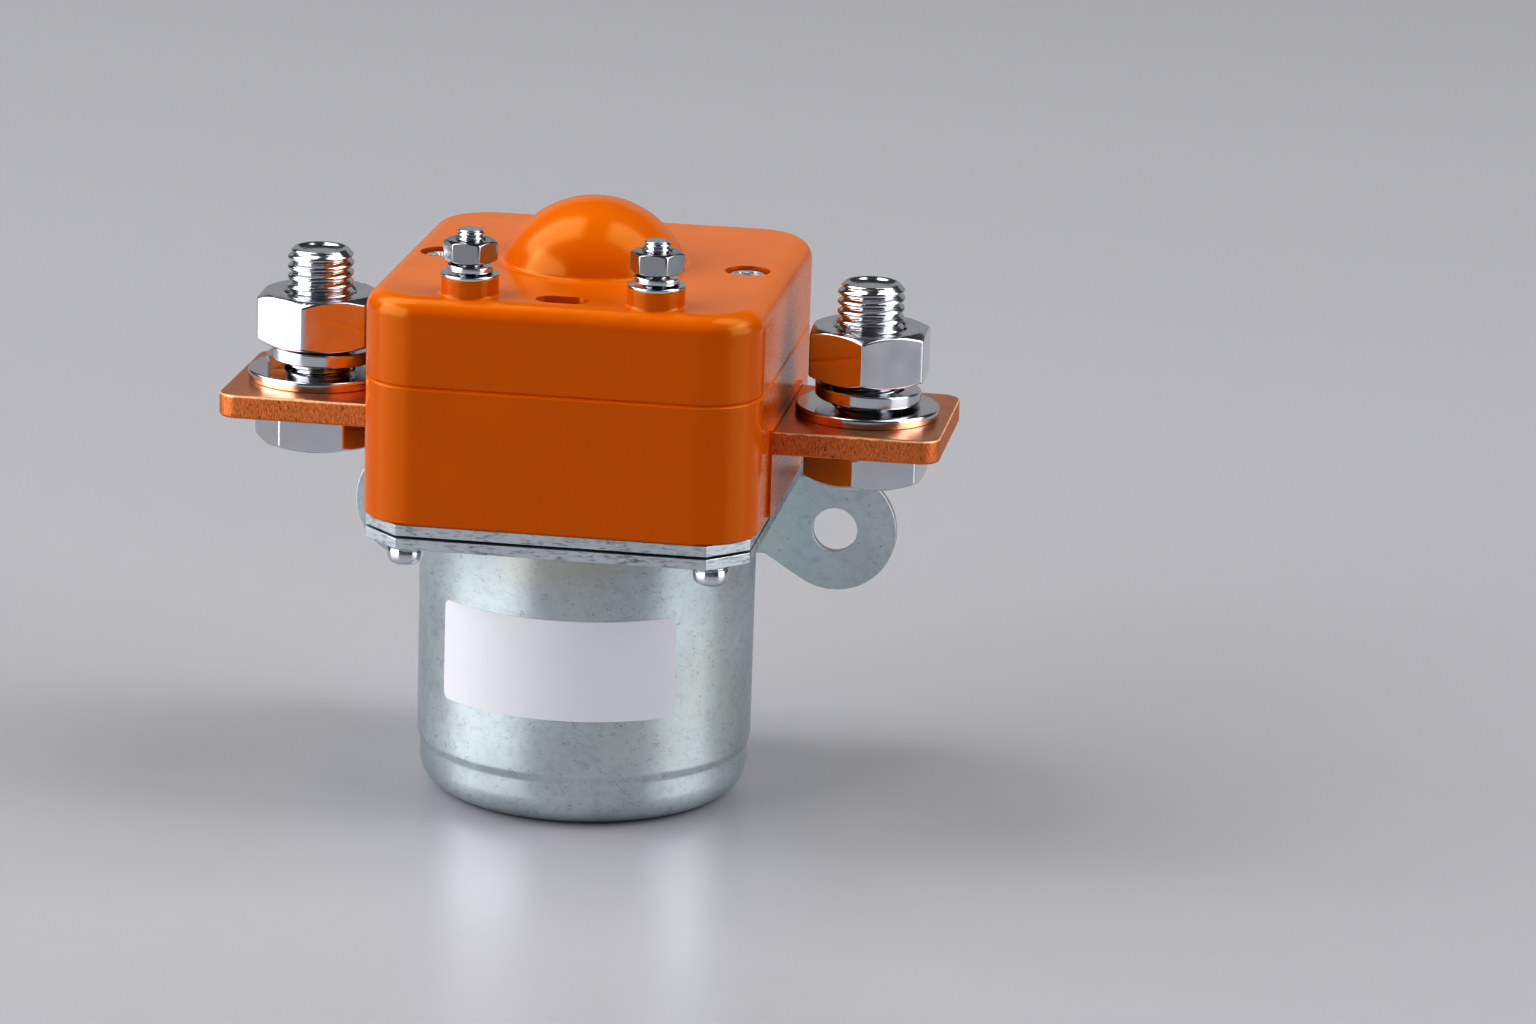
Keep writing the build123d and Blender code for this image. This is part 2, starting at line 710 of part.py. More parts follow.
def make_coil_spring_washers():
    washer = split_washer(m4_spring_inner_radius, m4_spring_outer_radius, m4_spring_thickness,
                          m4_spring_height, m4_washer_top, coil_spring_start)
    return at_each(washer, coil_places())


def make_coil_nuts():
    high = m4_nut_bottom + m4_nut_height
    nut = hexagon(m4_across_flats, m4_nut_bottom, high, True, True, coil_nut_turn)
    nut -= disc(m4_pitch_radius + thread_clearance, m4_nut_bottom - past, high + past)
    return at_each(nut, coil_places())


def make_label():
    sheet = ring(can_radius + label_thickness, can_radius, label_bottom_z, label_bottom_z + label_height)
    middle_deg = (label_left_deg + label_right_deg) / 2 - 90
    half_angle = math.radians((label_right_deg - label_left_deg) / 2)
    reach = 2 * can_radius
    wedge = make_face(Polyline((0, 0), (reach, -reach * math.tan(half_angle)),
                               (reach, reach * math.tan(half_angle)), close=True))
    cutter = Pos(0, 0, label_bottom_z - past) * Rot(0, 0, middle_deg) * extrude(wedge, label_height + 2 * past)
    label = sheet & cutter
    corners = label.edges().filter_by(lambda edge: edge.length < 2 * label_thickness)
    return fillet(corners, label_corner_radius)


# Magnet system

def make_fixed_core():
    core = disc(core_radius, can_wall, core_top)
    return core - disc(spring_pocket_radius, core_top - core_pocket_depth, core_top + past)


def make_guide_sleeve():
    inner = core_radius + plunger_running_gap
    return ring(inner + sleeve_wall, inner, can_wall, yoke_bottom)


def bobbin_radii():
    inner = core_radius + plunger_running_gap + sleeve_wall + bobbin_gap
    return inner, inner + bobbin_tube_wall


def make_bobbin():
    inner, outer = bobbin_radii()
    top = yoke_bottom - bobbin_top_gap
    low_flange_top = bobbin_lower_flange_z + bobbin_flange_thickness
    bobbin = turned([
        (inner, can_wall), (outer, can_wall), (outer, bobbin_lower_flange_z),
        (bobbin_flange_radius, bobbin_lower_flange_z), (bobbin_flange_radius, low_flange_top),
        (outer, low_flange_top), (outer, top - bobbin_flange_thickness),
        (bobbin_flange_radius, top - bobbin_flange_thickness), (bobbin_flange_radius, top), (inner, top),
    ])
    for side in SIDES:
        bobbin -= disc(lead_radius + lead_hole_clearance, top - bobbin_flange_thickness - past, top + past,
                       side * lead_x, lead_y)
    return bobbin


def winding_top():
    return yoke_bottom - bobbin_top_gap - bobbin_flange_thickness


def make_winding():
    outer = bobbin_radii()[1]
    return ring(winding_radius, outer, bobbin_lower_flange_z + bobbin_flange_thickness, winding_top())


def make_plunger():
    plunger = disc(core_radius, plunger_bottom, plunger_top)
    plunger -= disc(spring_pocket_radius, plunger_bottom - past, plunger_bottom + plunger_pocket_depth)
    return plunger - disc(rod_radius + press_gap, plunger_top - rod_depth_in_plunger, plunger_top + past)


def make_plunger_rod():
    return disc(rod_radius, plunger_top - rod_depth_in_plunger, rod_top_z)


def make_return_spring():
    return coil_spring(return_spring_radius, return_spring_wire_radius, return_spring_turns,
                       core_top - core_pocket_depth, plunger_bottom + plunger_pocket_depth)


def make_rest_bumper():
    return ring(bumper_outer_radius, bumper_inner_radius, turret_roof_z - bumper_thickness, turret_roof_z)


# Contacts

def make_bridge():
    bridge = rounded_slab(bridge_half_length, bridge_half_width, bridge_corner_radius,
                          bridge_bottom, bridge_top)
    return bridge - disc(bush_sleeve_radius + bush_running_gap, bridge_bottom - past, bridge_top + past)


def tips(low):
    return at_each(disc(tip_radius, low, low + tip_thickness), [(side * tip_x, 0) for side in SIDES])


def make_bridge_bush():
    shoulder_low = bridge_bottom - bush_shoulder_thickness
    bush = disc(bush_shoulder_radius, shoulder_low, bridge_bottom)
    bush += disc(bush_sleeve_radius, bridge_bottom, bridge_bottom + bush_sleeve_length)
    return bush - disc(rod_radius + press_gap, shoulder_low - past,
                       bridge_bottom + bush_sleeve_length + past)


def make_spring_cup():
    hole = bush_sleeve_radius + bush_running_gap
    rim_inner = contact_spring_radius + contact_spring_wire_radius + bush_running_gap
    outer = rim_inner + cup_rim_thickness
    floor_z = bridge_top + cup_floor
    return turned([(hole, bridge_top), (outer, bridge_top), (outer, floor_z + cup_rim_height),
                   (rim_inner, floor_z + cup_rim_height), (rim_inner, floor_z), (hole, floor_z)])


def make_contact_spring():
    return coil_spring(contact_spring_radius, contact_spring_wire_radius, contact_spring_turns,
                       bridge_top + cup_floor, seat_bottom)


def make_spring_seat():
    return ring(seat_radius, rod_radius + press_gap, seat_bottom, seat_top)


def make_rod_nut():
    nut = hexagon(rod_nut_across_flats, seat_top, seat_top + rod_nut_height, True, True)
    return nut - disc(rod_radius + press_gap, seat_top - past, seat_top + rod_nut_height + past)


def make_blowout_magnets():
    front = cavity_half_depth - magnet_thickness
    solids = []
    for side in SIDES:
        depth = tuple(sorted((side * front, side * cavity_half_depth)))
        solids.append(block((-magnet_half_width, magnet_half_width), depth,
                            (magnet_bottom_z, magnet_bottom_z + magnet_height)))
    return Compound(children=solids)


def make_coil_leads():
    head_low = cover_ceiling - coil_head_height
    straight_top = floor_top + lead_straight_above_floor
    leads = []
    for side in SIDES:
        foot = Vector(side * lead_x, lead_y, winding_top())
        knee = Vector(side * lead_x, lead_y, straight_top)
        upper = Vector(side * coil_stud_x, lead_end_y, head_low - lead_knee_below_head)
        end = Vector(side * coil_stud_x, lead_end_y, head_low)
        path = Line(foot, knee) + Spline(knee, upper, tangents=((0, 0, 1), (0, 0, 1))) + Line(upper, end)
        section = Plane(foot, z_dir=(0, 0, 1)) * Circle(lead_radius)
        leads.append(sweep(section, path=path))
    return Compound(children=leads)


def main():
    os.makedirs("parts", exist_ok=True)
    nodes = {
        "can": make_can(),
        "mounting_bracket": make_bracket(),
        "plate_gasket": make_gasket(),
        "yoke_plate": make_yoke(),
        "plate_screws": make_plate_screws(),
        "plate_screw_washers": make_plate_screw_washers(),
        "contact_base": make_base(),
        "cover": make_cover(),
        "cover_screws": make_cover_screws(),
        "bar_left": make_bar(-1),
        "bar_right": make_bar(1),
        "terminal_bolt_left": make_terminal_bolt(-1),
        "terminal_bolt_right": make_terminal_bolt(1),
        "terminal_washers": make_terminal_washers(),
        "terminal_spring_washers": make_terminal_spring_washers(),
        "terminal_nuts": make_terminal_nuts(),
        "coil_stud_left": make_coil_stud(-1),
        "coil_stud_right": make_coil_stud(1),
        "coil_washers": make_coil_washers(),
        "coil_spring_washers": make_coil_spring_washers(),
        "coil_nuts": make_coil_nuts(),
        "label": make_label(),
        "fixed_core": make_fixed_core(),
        "guide_sleeve": make_guide_sleeve(),
        "bobbin": make_bobbin(),
        "winding": make_winding(),
        "plunger": make_plunger(),
        "plunger_rod": make_plunger_rod(),
        "return_spring": make_return_spring(),
        "rest_bumper": make_rest_bumper(),
        "bridge_bush": make_bridge_bush(),
        "contact_bridge": make_bridge(),
        "bridge_tips": tips(bridge_bottom - tip_thickness),
        "fixed_tips": tips(bar_top),
        "spring_cup": make_spring_cup(),
        "contact_spring": make_contact_spring(),
        "spring_seat": make_spring_seat(),
        "rod_nut": make_rod_nut(),
        "blowout_magnets": make_blowout_magnets(),
        "coil_leads": make_coil_leads(),
    }
    for name, solid in nodes.items():
        export_step(solid, f"parts/{name}.step")


main()
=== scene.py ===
"""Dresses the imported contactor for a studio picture: pieces, materials, camera, floor and lights."""

import math

import bmesh
import bpy
from bpy.props import FloatProperty, FloatVectorProperty, IntProperty, PointerProperty
from mathutils import Matrix, Vector


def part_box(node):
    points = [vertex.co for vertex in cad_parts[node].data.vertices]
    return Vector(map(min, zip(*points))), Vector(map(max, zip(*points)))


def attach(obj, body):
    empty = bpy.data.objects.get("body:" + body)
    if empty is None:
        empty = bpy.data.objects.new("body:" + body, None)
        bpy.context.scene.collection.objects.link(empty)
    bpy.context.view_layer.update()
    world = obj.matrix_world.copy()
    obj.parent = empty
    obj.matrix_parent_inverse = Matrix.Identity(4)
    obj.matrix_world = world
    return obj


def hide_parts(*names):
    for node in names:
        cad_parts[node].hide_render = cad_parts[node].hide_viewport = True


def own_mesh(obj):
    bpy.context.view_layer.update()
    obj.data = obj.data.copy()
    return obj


bl_info = {
    "name": "Contactor dresser",
    "version": (1, 0, 0),
    "blender": (4, 5, 0),
    "location": "View3D > Sidebar > Contactor",
    "description": "Builds the finished pieces, materials and studio of a high voltage DC contactor",
    "category": "Object",
}

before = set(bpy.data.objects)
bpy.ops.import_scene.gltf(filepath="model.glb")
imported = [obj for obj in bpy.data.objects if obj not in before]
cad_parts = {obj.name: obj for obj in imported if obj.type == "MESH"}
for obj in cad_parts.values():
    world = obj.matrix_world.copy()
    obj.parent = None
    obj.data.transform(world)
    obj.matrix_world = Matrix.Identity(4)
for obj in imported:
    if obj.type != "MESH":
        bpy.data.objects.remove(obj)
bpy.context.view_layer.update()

MM = 0.001
UP = Vector((0.0, 0.0, 1.0))
STILL = "housing"

# Two corners of a box that holds only the floor of the slot in the cover
SLOT_FLOOR = ((-4.1 * MM, -28.8 * MM, 80.1 * MM), (4.1 * MM, -24.0 * MM, 80.3 * MM))

# Vertices nearer than this become one: the first in the CAD meshes, the second in meshes made here
MERGE_DISTANCE, TINY_DISTANCE = 0.5e-6, 1e-8
# Edges sharper than this many degrees are eased or kept crisp
CORNER_ANGLE, BAR_CORNER_ANGLE = 32.0, 25.0
# Edges of the plates, in metres, and of the bars, as a share of the edge radius in the panel's sizes
PLATE_EDGE, BAR_EDGE_SHARE = 0.14 * MM, 1.4
# Mesh steps round a turned piece
MAIN_ROUND, COIL_ROUND, SCREW_ROUND, WASHER_ROUND, COLLAR_ROUND = 72, 48, 64, 128, 96

# Chamfer of the nuts and bolt heads, and the gaps between the bores of the nuts and their studs
CHAMFER_ANGLE = math.radians(28)
MAIN_BORE_GAP, COIL_BORE_GAP = 0.08 * MM, 0.04 * MM
MAIN_WASHER = {"inner": 5.25 * MM, "outer": 10.75 * MM}
COIL_WASHER = {"inner": 2.15 * MM, "outer": 4.3 * MM}
PLATE_WASHER = {"inner": 1.7 * MM, "outer": 2.4 * MM}
SPLIT_WASHER_TURN = 348 / 360
MAIN_SPRING_WASHER = {
    "Inner radius": 5.3 * MM, "Outer radius": 7.9 * MM, "Thickness": 2.0 * MM, "Rounding": 0.3 * MM,
    "Steps": 120,
}
COIL_SPRING_WASHER = {
    "Inner radius": 2.15 * MM, "Outer radius": 3.35 * MM, "Thickness": 0.9 * MM, "Rounding": 0.14 * MM,
    "Steps": 72,
}

# Turns about the upright, in radians
LEFT_BOLT_TURN, RIGHT_BOLT_TURN = math.radians(34.5), math.radians(-4.0)
MAIN_NUT_TURNS = {"first_turn": math.radians(-4), "turn_step": math.radians(5)}
MAIN_SPRING_TURNS = {"first_turn": math.radians(-150), "turn_step": math.radians(225)}
COIL_NUT_TURN = math.radians(30)
COIL_SPRING_TURNS = {"first_turn": math.radians(60)}
COVER_SCREW_TURNS = {"first_turn": math.radians(35), "turn_step": math.radians(20)}
PLATE_SCREW_TURNS = {"first_turn": 0.3, "turn_step": 0.7}

# Head and cross of the screws; the heads in the CAD file have one radius
CAD_HEAD_RADIUS = 2.6 * MM
COVER_SCREW = {
    "radius": 2.85 * MM, "height": 2.65 * MM, "edge": 0.5 * MM, "shank": 25.5 * MM, "long_half": 1.7 * MM,
    "short_half": 0.5 * MM, "depth": 1.1 * MM,
}
COVER_HEAD_BELOW_TOP = 2.2 * MM
PLATE_SCREW = {
    "radius": 2.6 * MM, "height": 2.6 * MM, "edge": 1.35 * MM, "shank": 14.0 * MM, "long_half": 1.5 * MM,
    "short_half": 0.38 * MM, "depth": 1.1 * MM,
}

# Foot of a coil stud, from below: radius, and height above its lowest point
COIL_FOOT = (
    (0.0, 0.0), (3.4 * MM, 0.0), (3.4 * MM, 2.0 * MM), (1.6 * MM, 2.0 * MM), (1.6 * MM, 3.0 * MM),
    (0.0, 3.0 * MM),
)
COIL_THREAD_START = 2.0 * MM


def box_low(node, axis=2):
    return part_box(node)[0][axis]


def box_high(node, axis=2):
    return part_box(node)[1][axis]


def tall(node):
    return box_high(node) - box_low(node)


def middle_of(node):
    low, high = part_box(node)
    return (low[0] + high[0]) / 2, (low[1] + high[1]) / 2


def srgb(red, green, blue):
    """A colour from 0 to 255 as linear light."""
    def linear(value):
        share = value / 255
        return share / 12.92 if share <= 0.04045 else ((share + 0.055) / 1.055) ** 2.4
    return (linear(red), linear(green), linear(blue))


# Sizes and colours that a user may change

def length(name, default, description):
    return FloatProperty(name=name, description=description, default=default, min=0.0, unit="LENGTH",
                         precision=5)


def colour(name, default, description):
    return FloatVectorProperty(name=name, description=description, default=default, subtype="COLOR", size=3,
                               min=0.0, max=1.0)


class ContactorHardwareSizes(bpy.types.PropertyGroup):
    """Sizes of the bolts, nuts and washers"""
    main_radius: length("M10 radius", 5.0 * MM, "Radius over the crests of the main studs' thread")
    main_pitch: length("M10 pitch", 1.5 * MM, "Pitch of the main studs' thread")
    main_depth: length("M10 depth", 0.88 * MM, "Depth of the main studs' thread")
    main_chamfer: length("M10 tip chamfer", 0.95 * MM, "Chamfer at the tip of the main studs")
    main_dish: length("M10 tip dish", 0.5 * MM, "Depth of the dish in the tip of the main studs")
    main_collar: length("M10 collar", 0.6 * MM, "Height of the round face between a bolt head and its bar")
    main_flats: length("M10 across flats", 17.0 * MM, "Width across flats of the main nuts and bolt heads")
    main_face: length("M10 face radius", 8.1 * MM, "Radius of a main nut's flat face, inside its chamfer")
    coil_radius: length("M4 radius", 2.0 * MM, "Radius over the crests of the coil studs' thread")
    coil_pitch: length("M4 pitch", 0.7 * MM, "Pitch of the coil studs' thread")
    coil_depth: length("M4 depth", 0.4 * MM, "Depth of the coil studs' thread")
    coil_chamfer: length("M4 tip chamfer", 0.3 * MM, "Chamfer at the tip of the coil studs")
    coil_flats: length("M4 across flats", 7.0 * MM, "Width across flats of the coil nuts")
    coil_face: length("M4 face radius", 3.3 * MM, "Radius of a coil nut's flat face, inside its chamfer")
    edge: length("Edge radius", 0.18 * MM, "Rounding of small edges")
    steps: IntProperty(name="Thread steps", description="Mesh steps in each pitch", default=12, min=6,
                       max=24)
    slot_drop: length("Slot drop", 0.9 * MM, "How far the floor of the cover's slot goes down")


class ContactorFinishColours(bpy.types.PropertyGroup):
    """Colours of the finishes"""
    orange: colour("Orange", (0.76, 0.178, 0.001), "Moulded housing")
    zinc: colour("Zinc", (0.60, 0.67, 0.70), "Zinc plate of the can and the sheets")
    nickel: colour("Nickel", srgb(221, 223, 228), "Bright fasteners")
    copper: colour("Copper", (0.94, 0.40, 0.20), "Rolled faces of the bars")
    copper_edge: colour("Copper edge", (0.74, 0.26, 0.095), "Sheared edges of the bars")
    label: colour("Label", srgb(227, 227, 232), "Adhesive label")
    floor: colour("Floor", srgb(183, 183, 187), "Studio floor")


class ContactorStudioSizes(bpy.types.PropertyGroup):
    """Camera and floor of the studio"""
    camera_place: FloatVectorProperty(name="Camera place", description="Where the camera stands", size=3,
                                      default=(0.14166, -0.80948, 0.26444), unit="LENGTH")
    camera_yaw: FloatProperty(name="Yaw", description="Turn of the camera about the upright",
                              default=math.radians(8.05), subtype="ANGLE")
    camera_pitch: FloatProperty(name="Pitch", description="Tilt of the camera, negative downwards",
                                default=math.radians(-15.09), subtype="ANGLE")
    camera_roll: FloatProperty(name="Roll", description="Roll of the camera", default=math.radians(-1.85),
                               subtype="ANGLE")
    lens: FloatProperty(name="Lens", description="Focal length for a 36 mm wide sensor", default=132.62,
                        unit="CAMERA")
    floor_size: length("Floor size", 8.0, "Side of the square floor")


# Node trees

def add_node(tree, kind, inputs=None, **settings):
    """A node with its settings and inputs; an input is a value or another node's socket."""
    node = tree.nodes.new(kind)
    for key, value in settings.items():
        setattr(node, key, value)
    for key, value in (inputs or {}).items():
        if isinstance(value, bpy.types.NodeSocket):
            tree.links.new(value, node.inputs[key])
        else:
            node.inputs[key].default_value = value
    return node


def calc(tree, operation, *values):
    return add_node(tree, "ShaderNodeMath", dict(enumerate(values)), operation=operation).outputs[0]


def ranged(tree, value, low, high, to_low=0.0, to_high=1.0, smooth=False):
    """The value's place between low and high, carried to the second range."""
    inputs = {"Value": value, "From Min": low, "From Max": high, "To Min": to_low, "To Max": to_high}
    kind = "SMOOTHSTEP" if smooth else "LINEAR"
    return add_node(tree, "ShaderNodeMapRange", inputs, interpolation_type=kind).outputs["Result"]


def geometry_tree(name, inputs, takes_mesh=False):
    tree = bpy.data.node_groups.new(name, "GeometryNodeTree")
    if takes_mesh:
        tree.interface.new_socket("Geometry", in_out="INPUT", socket_type="NodeSocketGeometry")
    for label, kind, default in inputs:
        socket = tree.interface.new_socket(label, in_out="INPUT", socket_type=f"NodeSocket{kind}")
        if default is not None:
            socket.default_value = default
    tree.interface.new_socket("Geometry", in_out="OUTPUT", socket_type="NodeSocketGeometry")
    return tree, tree.nodes.new("NodeGroupInput").outputs


def close_tree(tree, geometry, material):
    real = add_node(tree, "GeometryNodeRealizeInstances", {"Geometry": geometry}).outputs[0]
    painted = add_node(tree, "GeometryNodeSetMaterial", {"Geometry": real, "Material": material}).outputs[0]
    out = tree.nodes.new("NodeGroupOutput")
    tree.links.new(painted, out.inputs[0])


def thread_tree():
    """A threaded rod: a cylinder whose skin follows a right-hand helix and ends in a chamfer."""
    tree, given = geometry_tree("threaded_rod", [
        ("Radius", "Float", 0.005), ("Pitch", "Float", 0.0015), ("Depth", "Float", 0.0008),
        ("Chamfer", "Float", 0.001), ("Bottom", "Float", 0.0), ("Top", "Float", 0.02),
        ("X", "Float", 0.0), ("Y", "Float", 0.0), ("Dish", "Float", 0.0), ("Round", "Int", 72),
        ("Steps", "Int", 12), ("Finish", "Material", None),
    ])
    height = calc(tree, "SUBTRACT", given["Top"], given["Bottom"])
    rings = calc(tree, "MULTIPLY", calc(tree, "DIVIDE", height, given["Pitch"]), given["Steps"])
    rod = add_node(tree, "GeometryNodeMeshCylinder", {
        "Vertices": given["Round"], "Side Segments": rings, "Fill Segments": 20, "Radius": given["Radius"],
        "Depth": height,
    }, fill_type="TRIANGLE_FAN").outputs["Mesh"]
    position = tree.nodes.new("GeometryNodeInputPosition").outputs[0]
    x, y, z = add_node(tree, "ShaderNodeSeparateXYZ", {0: position}).outputs
    up = calc(tree, "ADD", z, calc(tree, "MULTIPLY", height, 0.5))
    # where a point lies within its pitch of the right-hand helix
    around = calc(tree, "DIVIDE", calc(tree, "ARCTAN2", y, x), math.tau)
    phase = calc(tree, "FRACT", calc(tree, "SUBTRACT", calc(tree, "DIVIDE", up, given["Pitch"]), around))
    wave = calc(tree, "PINGPONG", calc(tree, "MULTIPLY", phase, 2.0), 1.0)
    crest = calc(tree, "SINE", calc(tree, "MULTIPLY", wave, math.pi / 2))
    dip = calc(tree, "MULTIPLY", calc(tree, "SUBTRACT", 1.0, crest), given["Depth"])
    skin = calc(tree, "SUBTRACT", given["Radius"], dip)
    # the chamfer's cone cuts the skin off near the tip
    flat_radius = calc(tree, "SUBTRACT", given["Radius"], given["Chamfer"])
    cone = calc(tree, "ADD", calc(tree, "SUBTRACT", height, up), flat_radius)
    share = calc(tree, "DIVIDE", calc(tree, "MINIMUM", skin, cone), given["Radius"])
    out = calc(tree, "SQRT", calc(tree, "ADD", calc(tree, "MULTIPLY", x, x), calc(tree, "MULTIPLY", y, y)))
    # the dish is full inside 0.78 of the radius and ends at 0.96 of it
    inside = ranged(tree, calc(tree, "DIVIDE", out, given["Radius"]), 0.78, 0.96, 1.0, 0.0)
    at_top = calc(tree, "GREATER_THAN", z, 0.0)
    sunk = calc(tree, "MULTIPLY", calc(tree, "MULTIPLY", inside, at_top), given["Dish"])
    point = add_node(tree, "ShaderNodeCombineXYZ", {
        "X": calc(tree, "ADD", calc(tree, "MULTIPLY", x, share), given["X"]),
        "Y": calc(tree, "ADD", calc(tree, "MULTIPLY", y, share), given["Y"]),
        "Z": calc(tree, "SUBTRACT", calc(tree, "ADD", up, given["Bottom"]), sunk),
    }).outputs[0]
    shaped = add_node(tree, "GeometryNodeSetPosition", {"Geometry": rod, "Position": point}).outputs[0]
    close_tree(tree, shaped, given["Finish"])
    return tree


def split_washer_tree():
    """One turn of a rounded square section along a rising helix, cut off square at both ends."""
    tree, given = geometry_tree("split_washer", [
        ("Inner radius", "Float", 0.0053), ("Outer radius", "Float", 0.0079),
        ("Thickness", "Float", 0.002), ("Height", "Float", 0.0039), ("Turn share", "Float", 0.967),
        ("Rounding", "Float", 0.0003), ("Steps", "Int", 96), ("Finish", "Material", None),
    ])
    mean = calc(tree, "MULTIPLY", calc(tree, "ADD", given["Inner radius"], given["Outer radius"]), 0.5)
    width = calc(tree, "SUBTRACT", given["Outer radius"], given["Inner radius"])
    path = add_node(tree, "GeometryNodeCurveSpiral", {
        "Resolution": given["Steps"], "Rotations": given["Turn share"], "Start Radius": mean,
        "End Radius": mean, "Height": calc(tree, "SUBTRACT", given["Height"], given["Thickness"]),
    }).outputs[0]
    upright = add_node(tree, "GeometryNodeSetCurveNormal", {"Curve": path}, mode="Z_UP").outputs[0]
    section = add_node(tree, "GeometryNodeCurvePrimitiveQuadrilateral", {
        "Width": width, "Height": given["Thickness"],
    }).outputs[0]
    eased = add_node(tree, "GeometryNodeFilletCurve", {
        "Curve": section, "Count": 3, "Radius": given["Rounding"],
    }, mode="POLY").outputs[0]
    ring = add_node(tree, "GeometryNodeCurveToMesh", {
        "Curve": upright, "Profile Curve": eased, "Fill Caps": True,
    }).outputs[0]
    lift = add_node(tree, "ShaderNodeCombineXYZ", {"Z": calc(tree, "MULTIPLY", given["Thickness"], 0.5)})
    placed = add_node(tree, "GeometryNodeTransform", {"Geometry": ring, "Translation": lift.outputs[0]})
    close_tree(tree, placed.outputs[0], given["Finish"])
    return tree


def row_tree():
    """Copies of one piece on a grid of places, each turned a step further than the last."""
    tree, given = geometry_tree("piece_in_rows", [
        ("Columns", "Int", 2), ("Rows", "Int", 1), ("Width", "Float", 0.05), ("Depth", "Float", 0.0),
        ("Centre", "Vector", (0.0, 0.0, 0.0)), ("First turn", "Float", 0.0), ("Turn step", "Float", 0.0),
        ("Finish", "Material", None),
    ], takes_mesh=True)
    grid = add_node(tree, "GeometryNodeMeshGrid", {
        "Size X": given["Width"], "Size Y": given["Depth"],
        "Vertices X": given["Columns"], "Vertices Y": given["Rows"],
    }).outputs["Mesh"]
    places = add_node(tree, "GeometryNodeTransform", {"Geometry": grid, "Translation": given["Centre"]})
    index = tree.nodes.new("GeometryNodeInputIndex").outputs[0]
    turn = calc(tree, "ADD", calc(tree, "MULTIPLY", index, given["Turn step"]), given["First turn"])
    spin = add_node(tree, "ShaderNodeCombineXYZ", {"Z": turn}).outputs[0]
    copies = add_node(tree, "GeometryNodeInstanceOnPoints", {
        "Points": places.outputs[0], "Instance": given["Geometry"], "Rotation": spin,
    }).outputs[0]
    close_tree(tree, copies, given["Finish"])
    return tree


def shared_tree(name, maker):
    return bpy.data.node_groups.get(name) or maker()


def add_tree(obj, tree, values):
    """Puts a node tree on an object and sets its inputs."""
    modifier = obj.modifiers.new(tree.name, "NODES")
    modifier.node_group = tree
    for item in tree.interface.items_tree:
        if item.in_out == "INPUT" and item.name in values:
            modifier[item.identifier] = values[item.name]


# Meshes and objects

def new_piece(name, mesh=None):
    obj = bpy.data.objects.new(name, mesh or bpy.data.meshes.new(name))
    bpy.context.scene.collection.objects.link(obj)
    return obj


def settle(obj):
    """The object's modifiers become its plain mesh."""
    bpy.context.view_layer.update()
    graph = bpy.context.evaluated_depsgraph_get()
    made = bpy.data.meshes.new_from_object(obj.evaluated_get(graph), preserve_all_data_layers=True,
                                           depsgraph=graph)
    obj.modifiers.clear()
    obj.data = made
    return obj


def smooth(mesh):
    mesh.polygons.foreach_set("use_smooth", [True] * len(mesh.polygons))
    mesh.update()


def even_light(obj):
    """Normals follow the larger faces, so flats stay flat beside their rounded edges."""
    smooth(obj.data)
    modifier = obj.modifiers.new("even_light", "WEIGHTED_NORMAL")
    modifier.weight = 80
    modifier.keep_sharp = True


def seat(obj, node, material, body=STILL):
    """The finished piece stands for its node, moves with its body and takes its finish."""
    obj.data.materials.clear()
    obj.data.materials.append(material)
    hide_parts(node)
    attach(obj, body)


def merged_copy(node, edge=0.0, least_angle=CORNER_ANGLE, steps=2):
    """A merged copy of a node's mesh, with its sharp edges eased, or kept crisp if edge is zero."""
    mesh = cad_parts[node].data.copy()
    shape = bmesh.new()
    shape.from_mesh(mesh)
    bmesh.ops.remove_doubles(shape, verts=shape.verts, dist=MERGE_DISTANCE)
    flat = math.radians(0.3)
    bmesh.ops.dissolve_limit(shape, angle_limit=flat, verts=shape.verts, edges=shape.edges)
    for line in shape.edges:
        line.smooth = edge > 0.0 or line.calc_face_angle(0.0) < math.radians(least_angle)
    shape.to_mesh(mesh)
    shape.free()
    stored = mesh.attributes.get("custom_normal")
    if stored:
        mesh.attributes.remove(stored)
    obj = new_piece(f"{node}_finished", mesh)
    if edge:
        bevel = obj.modifiers.new("eased_edges", "BEVEL")
        bevel.width = edge
        bevel.segments = steps
        bevel.limit_method = "ANGLE"
        bevel.angle_limit = math.radians(least_angle)
        bevel.use_clamp_overlap = True
    return obj


def lower(obj, corners, drop):
    """The vertices between two corners go down."""
    for vertex in obj.data.vertices:
        if all(low <= value <= high for low, value, high in zip(corners[0], vertex.co, corners[1])):
            vertex.co.z -= drop


def ring_mesh(name, rings, looped=False):
    """Quads between rings of points; the last ring joins the first, or else both ends are capped."""
    count = len(rings[0])
    points = [point for ring in rings for point in ring]
    faces = []
    for level in range(len(rings) if looped else len(rings) - 1):
        low = level * count
        high = (level + 1) % len(rings) * count
        for step in range(count):
            after = (step + 1) % count
            faces.append((low + step, low + after, high + after, high + step))
    if not looped:
        faces.append(tuple(reversed(range(count))))
        faces.append(tuple(range(len(points) - count, len(points))))
    mesh = bpy.data.meshes.new(name)
    mesh.from_pydata(points, [], faces)
    shape = bmesh.new()
    shape.from_mesh(mesh)
    bmesh.ops.remove_doubles(shape, verts=shape.verts, dist=TINY_DISTANCE)
    bmesh.ops.recalc_face_normals(shape, faces=shape.faces)
    shape.to_mesh(mesh)
    shape.free()
    return mesh


def turned_mesh(name, profile, count, looped=False):
    """A solid turned about Z from (radius, height) points, bottom first."""
    angles = [math.tau * step / count for step in range(count)]
    rings = [[(r * math.cos(a), r * math.sin(a), z) for a in angles] for r, z in profile]
    return ring_mesh(name, rings, looped)


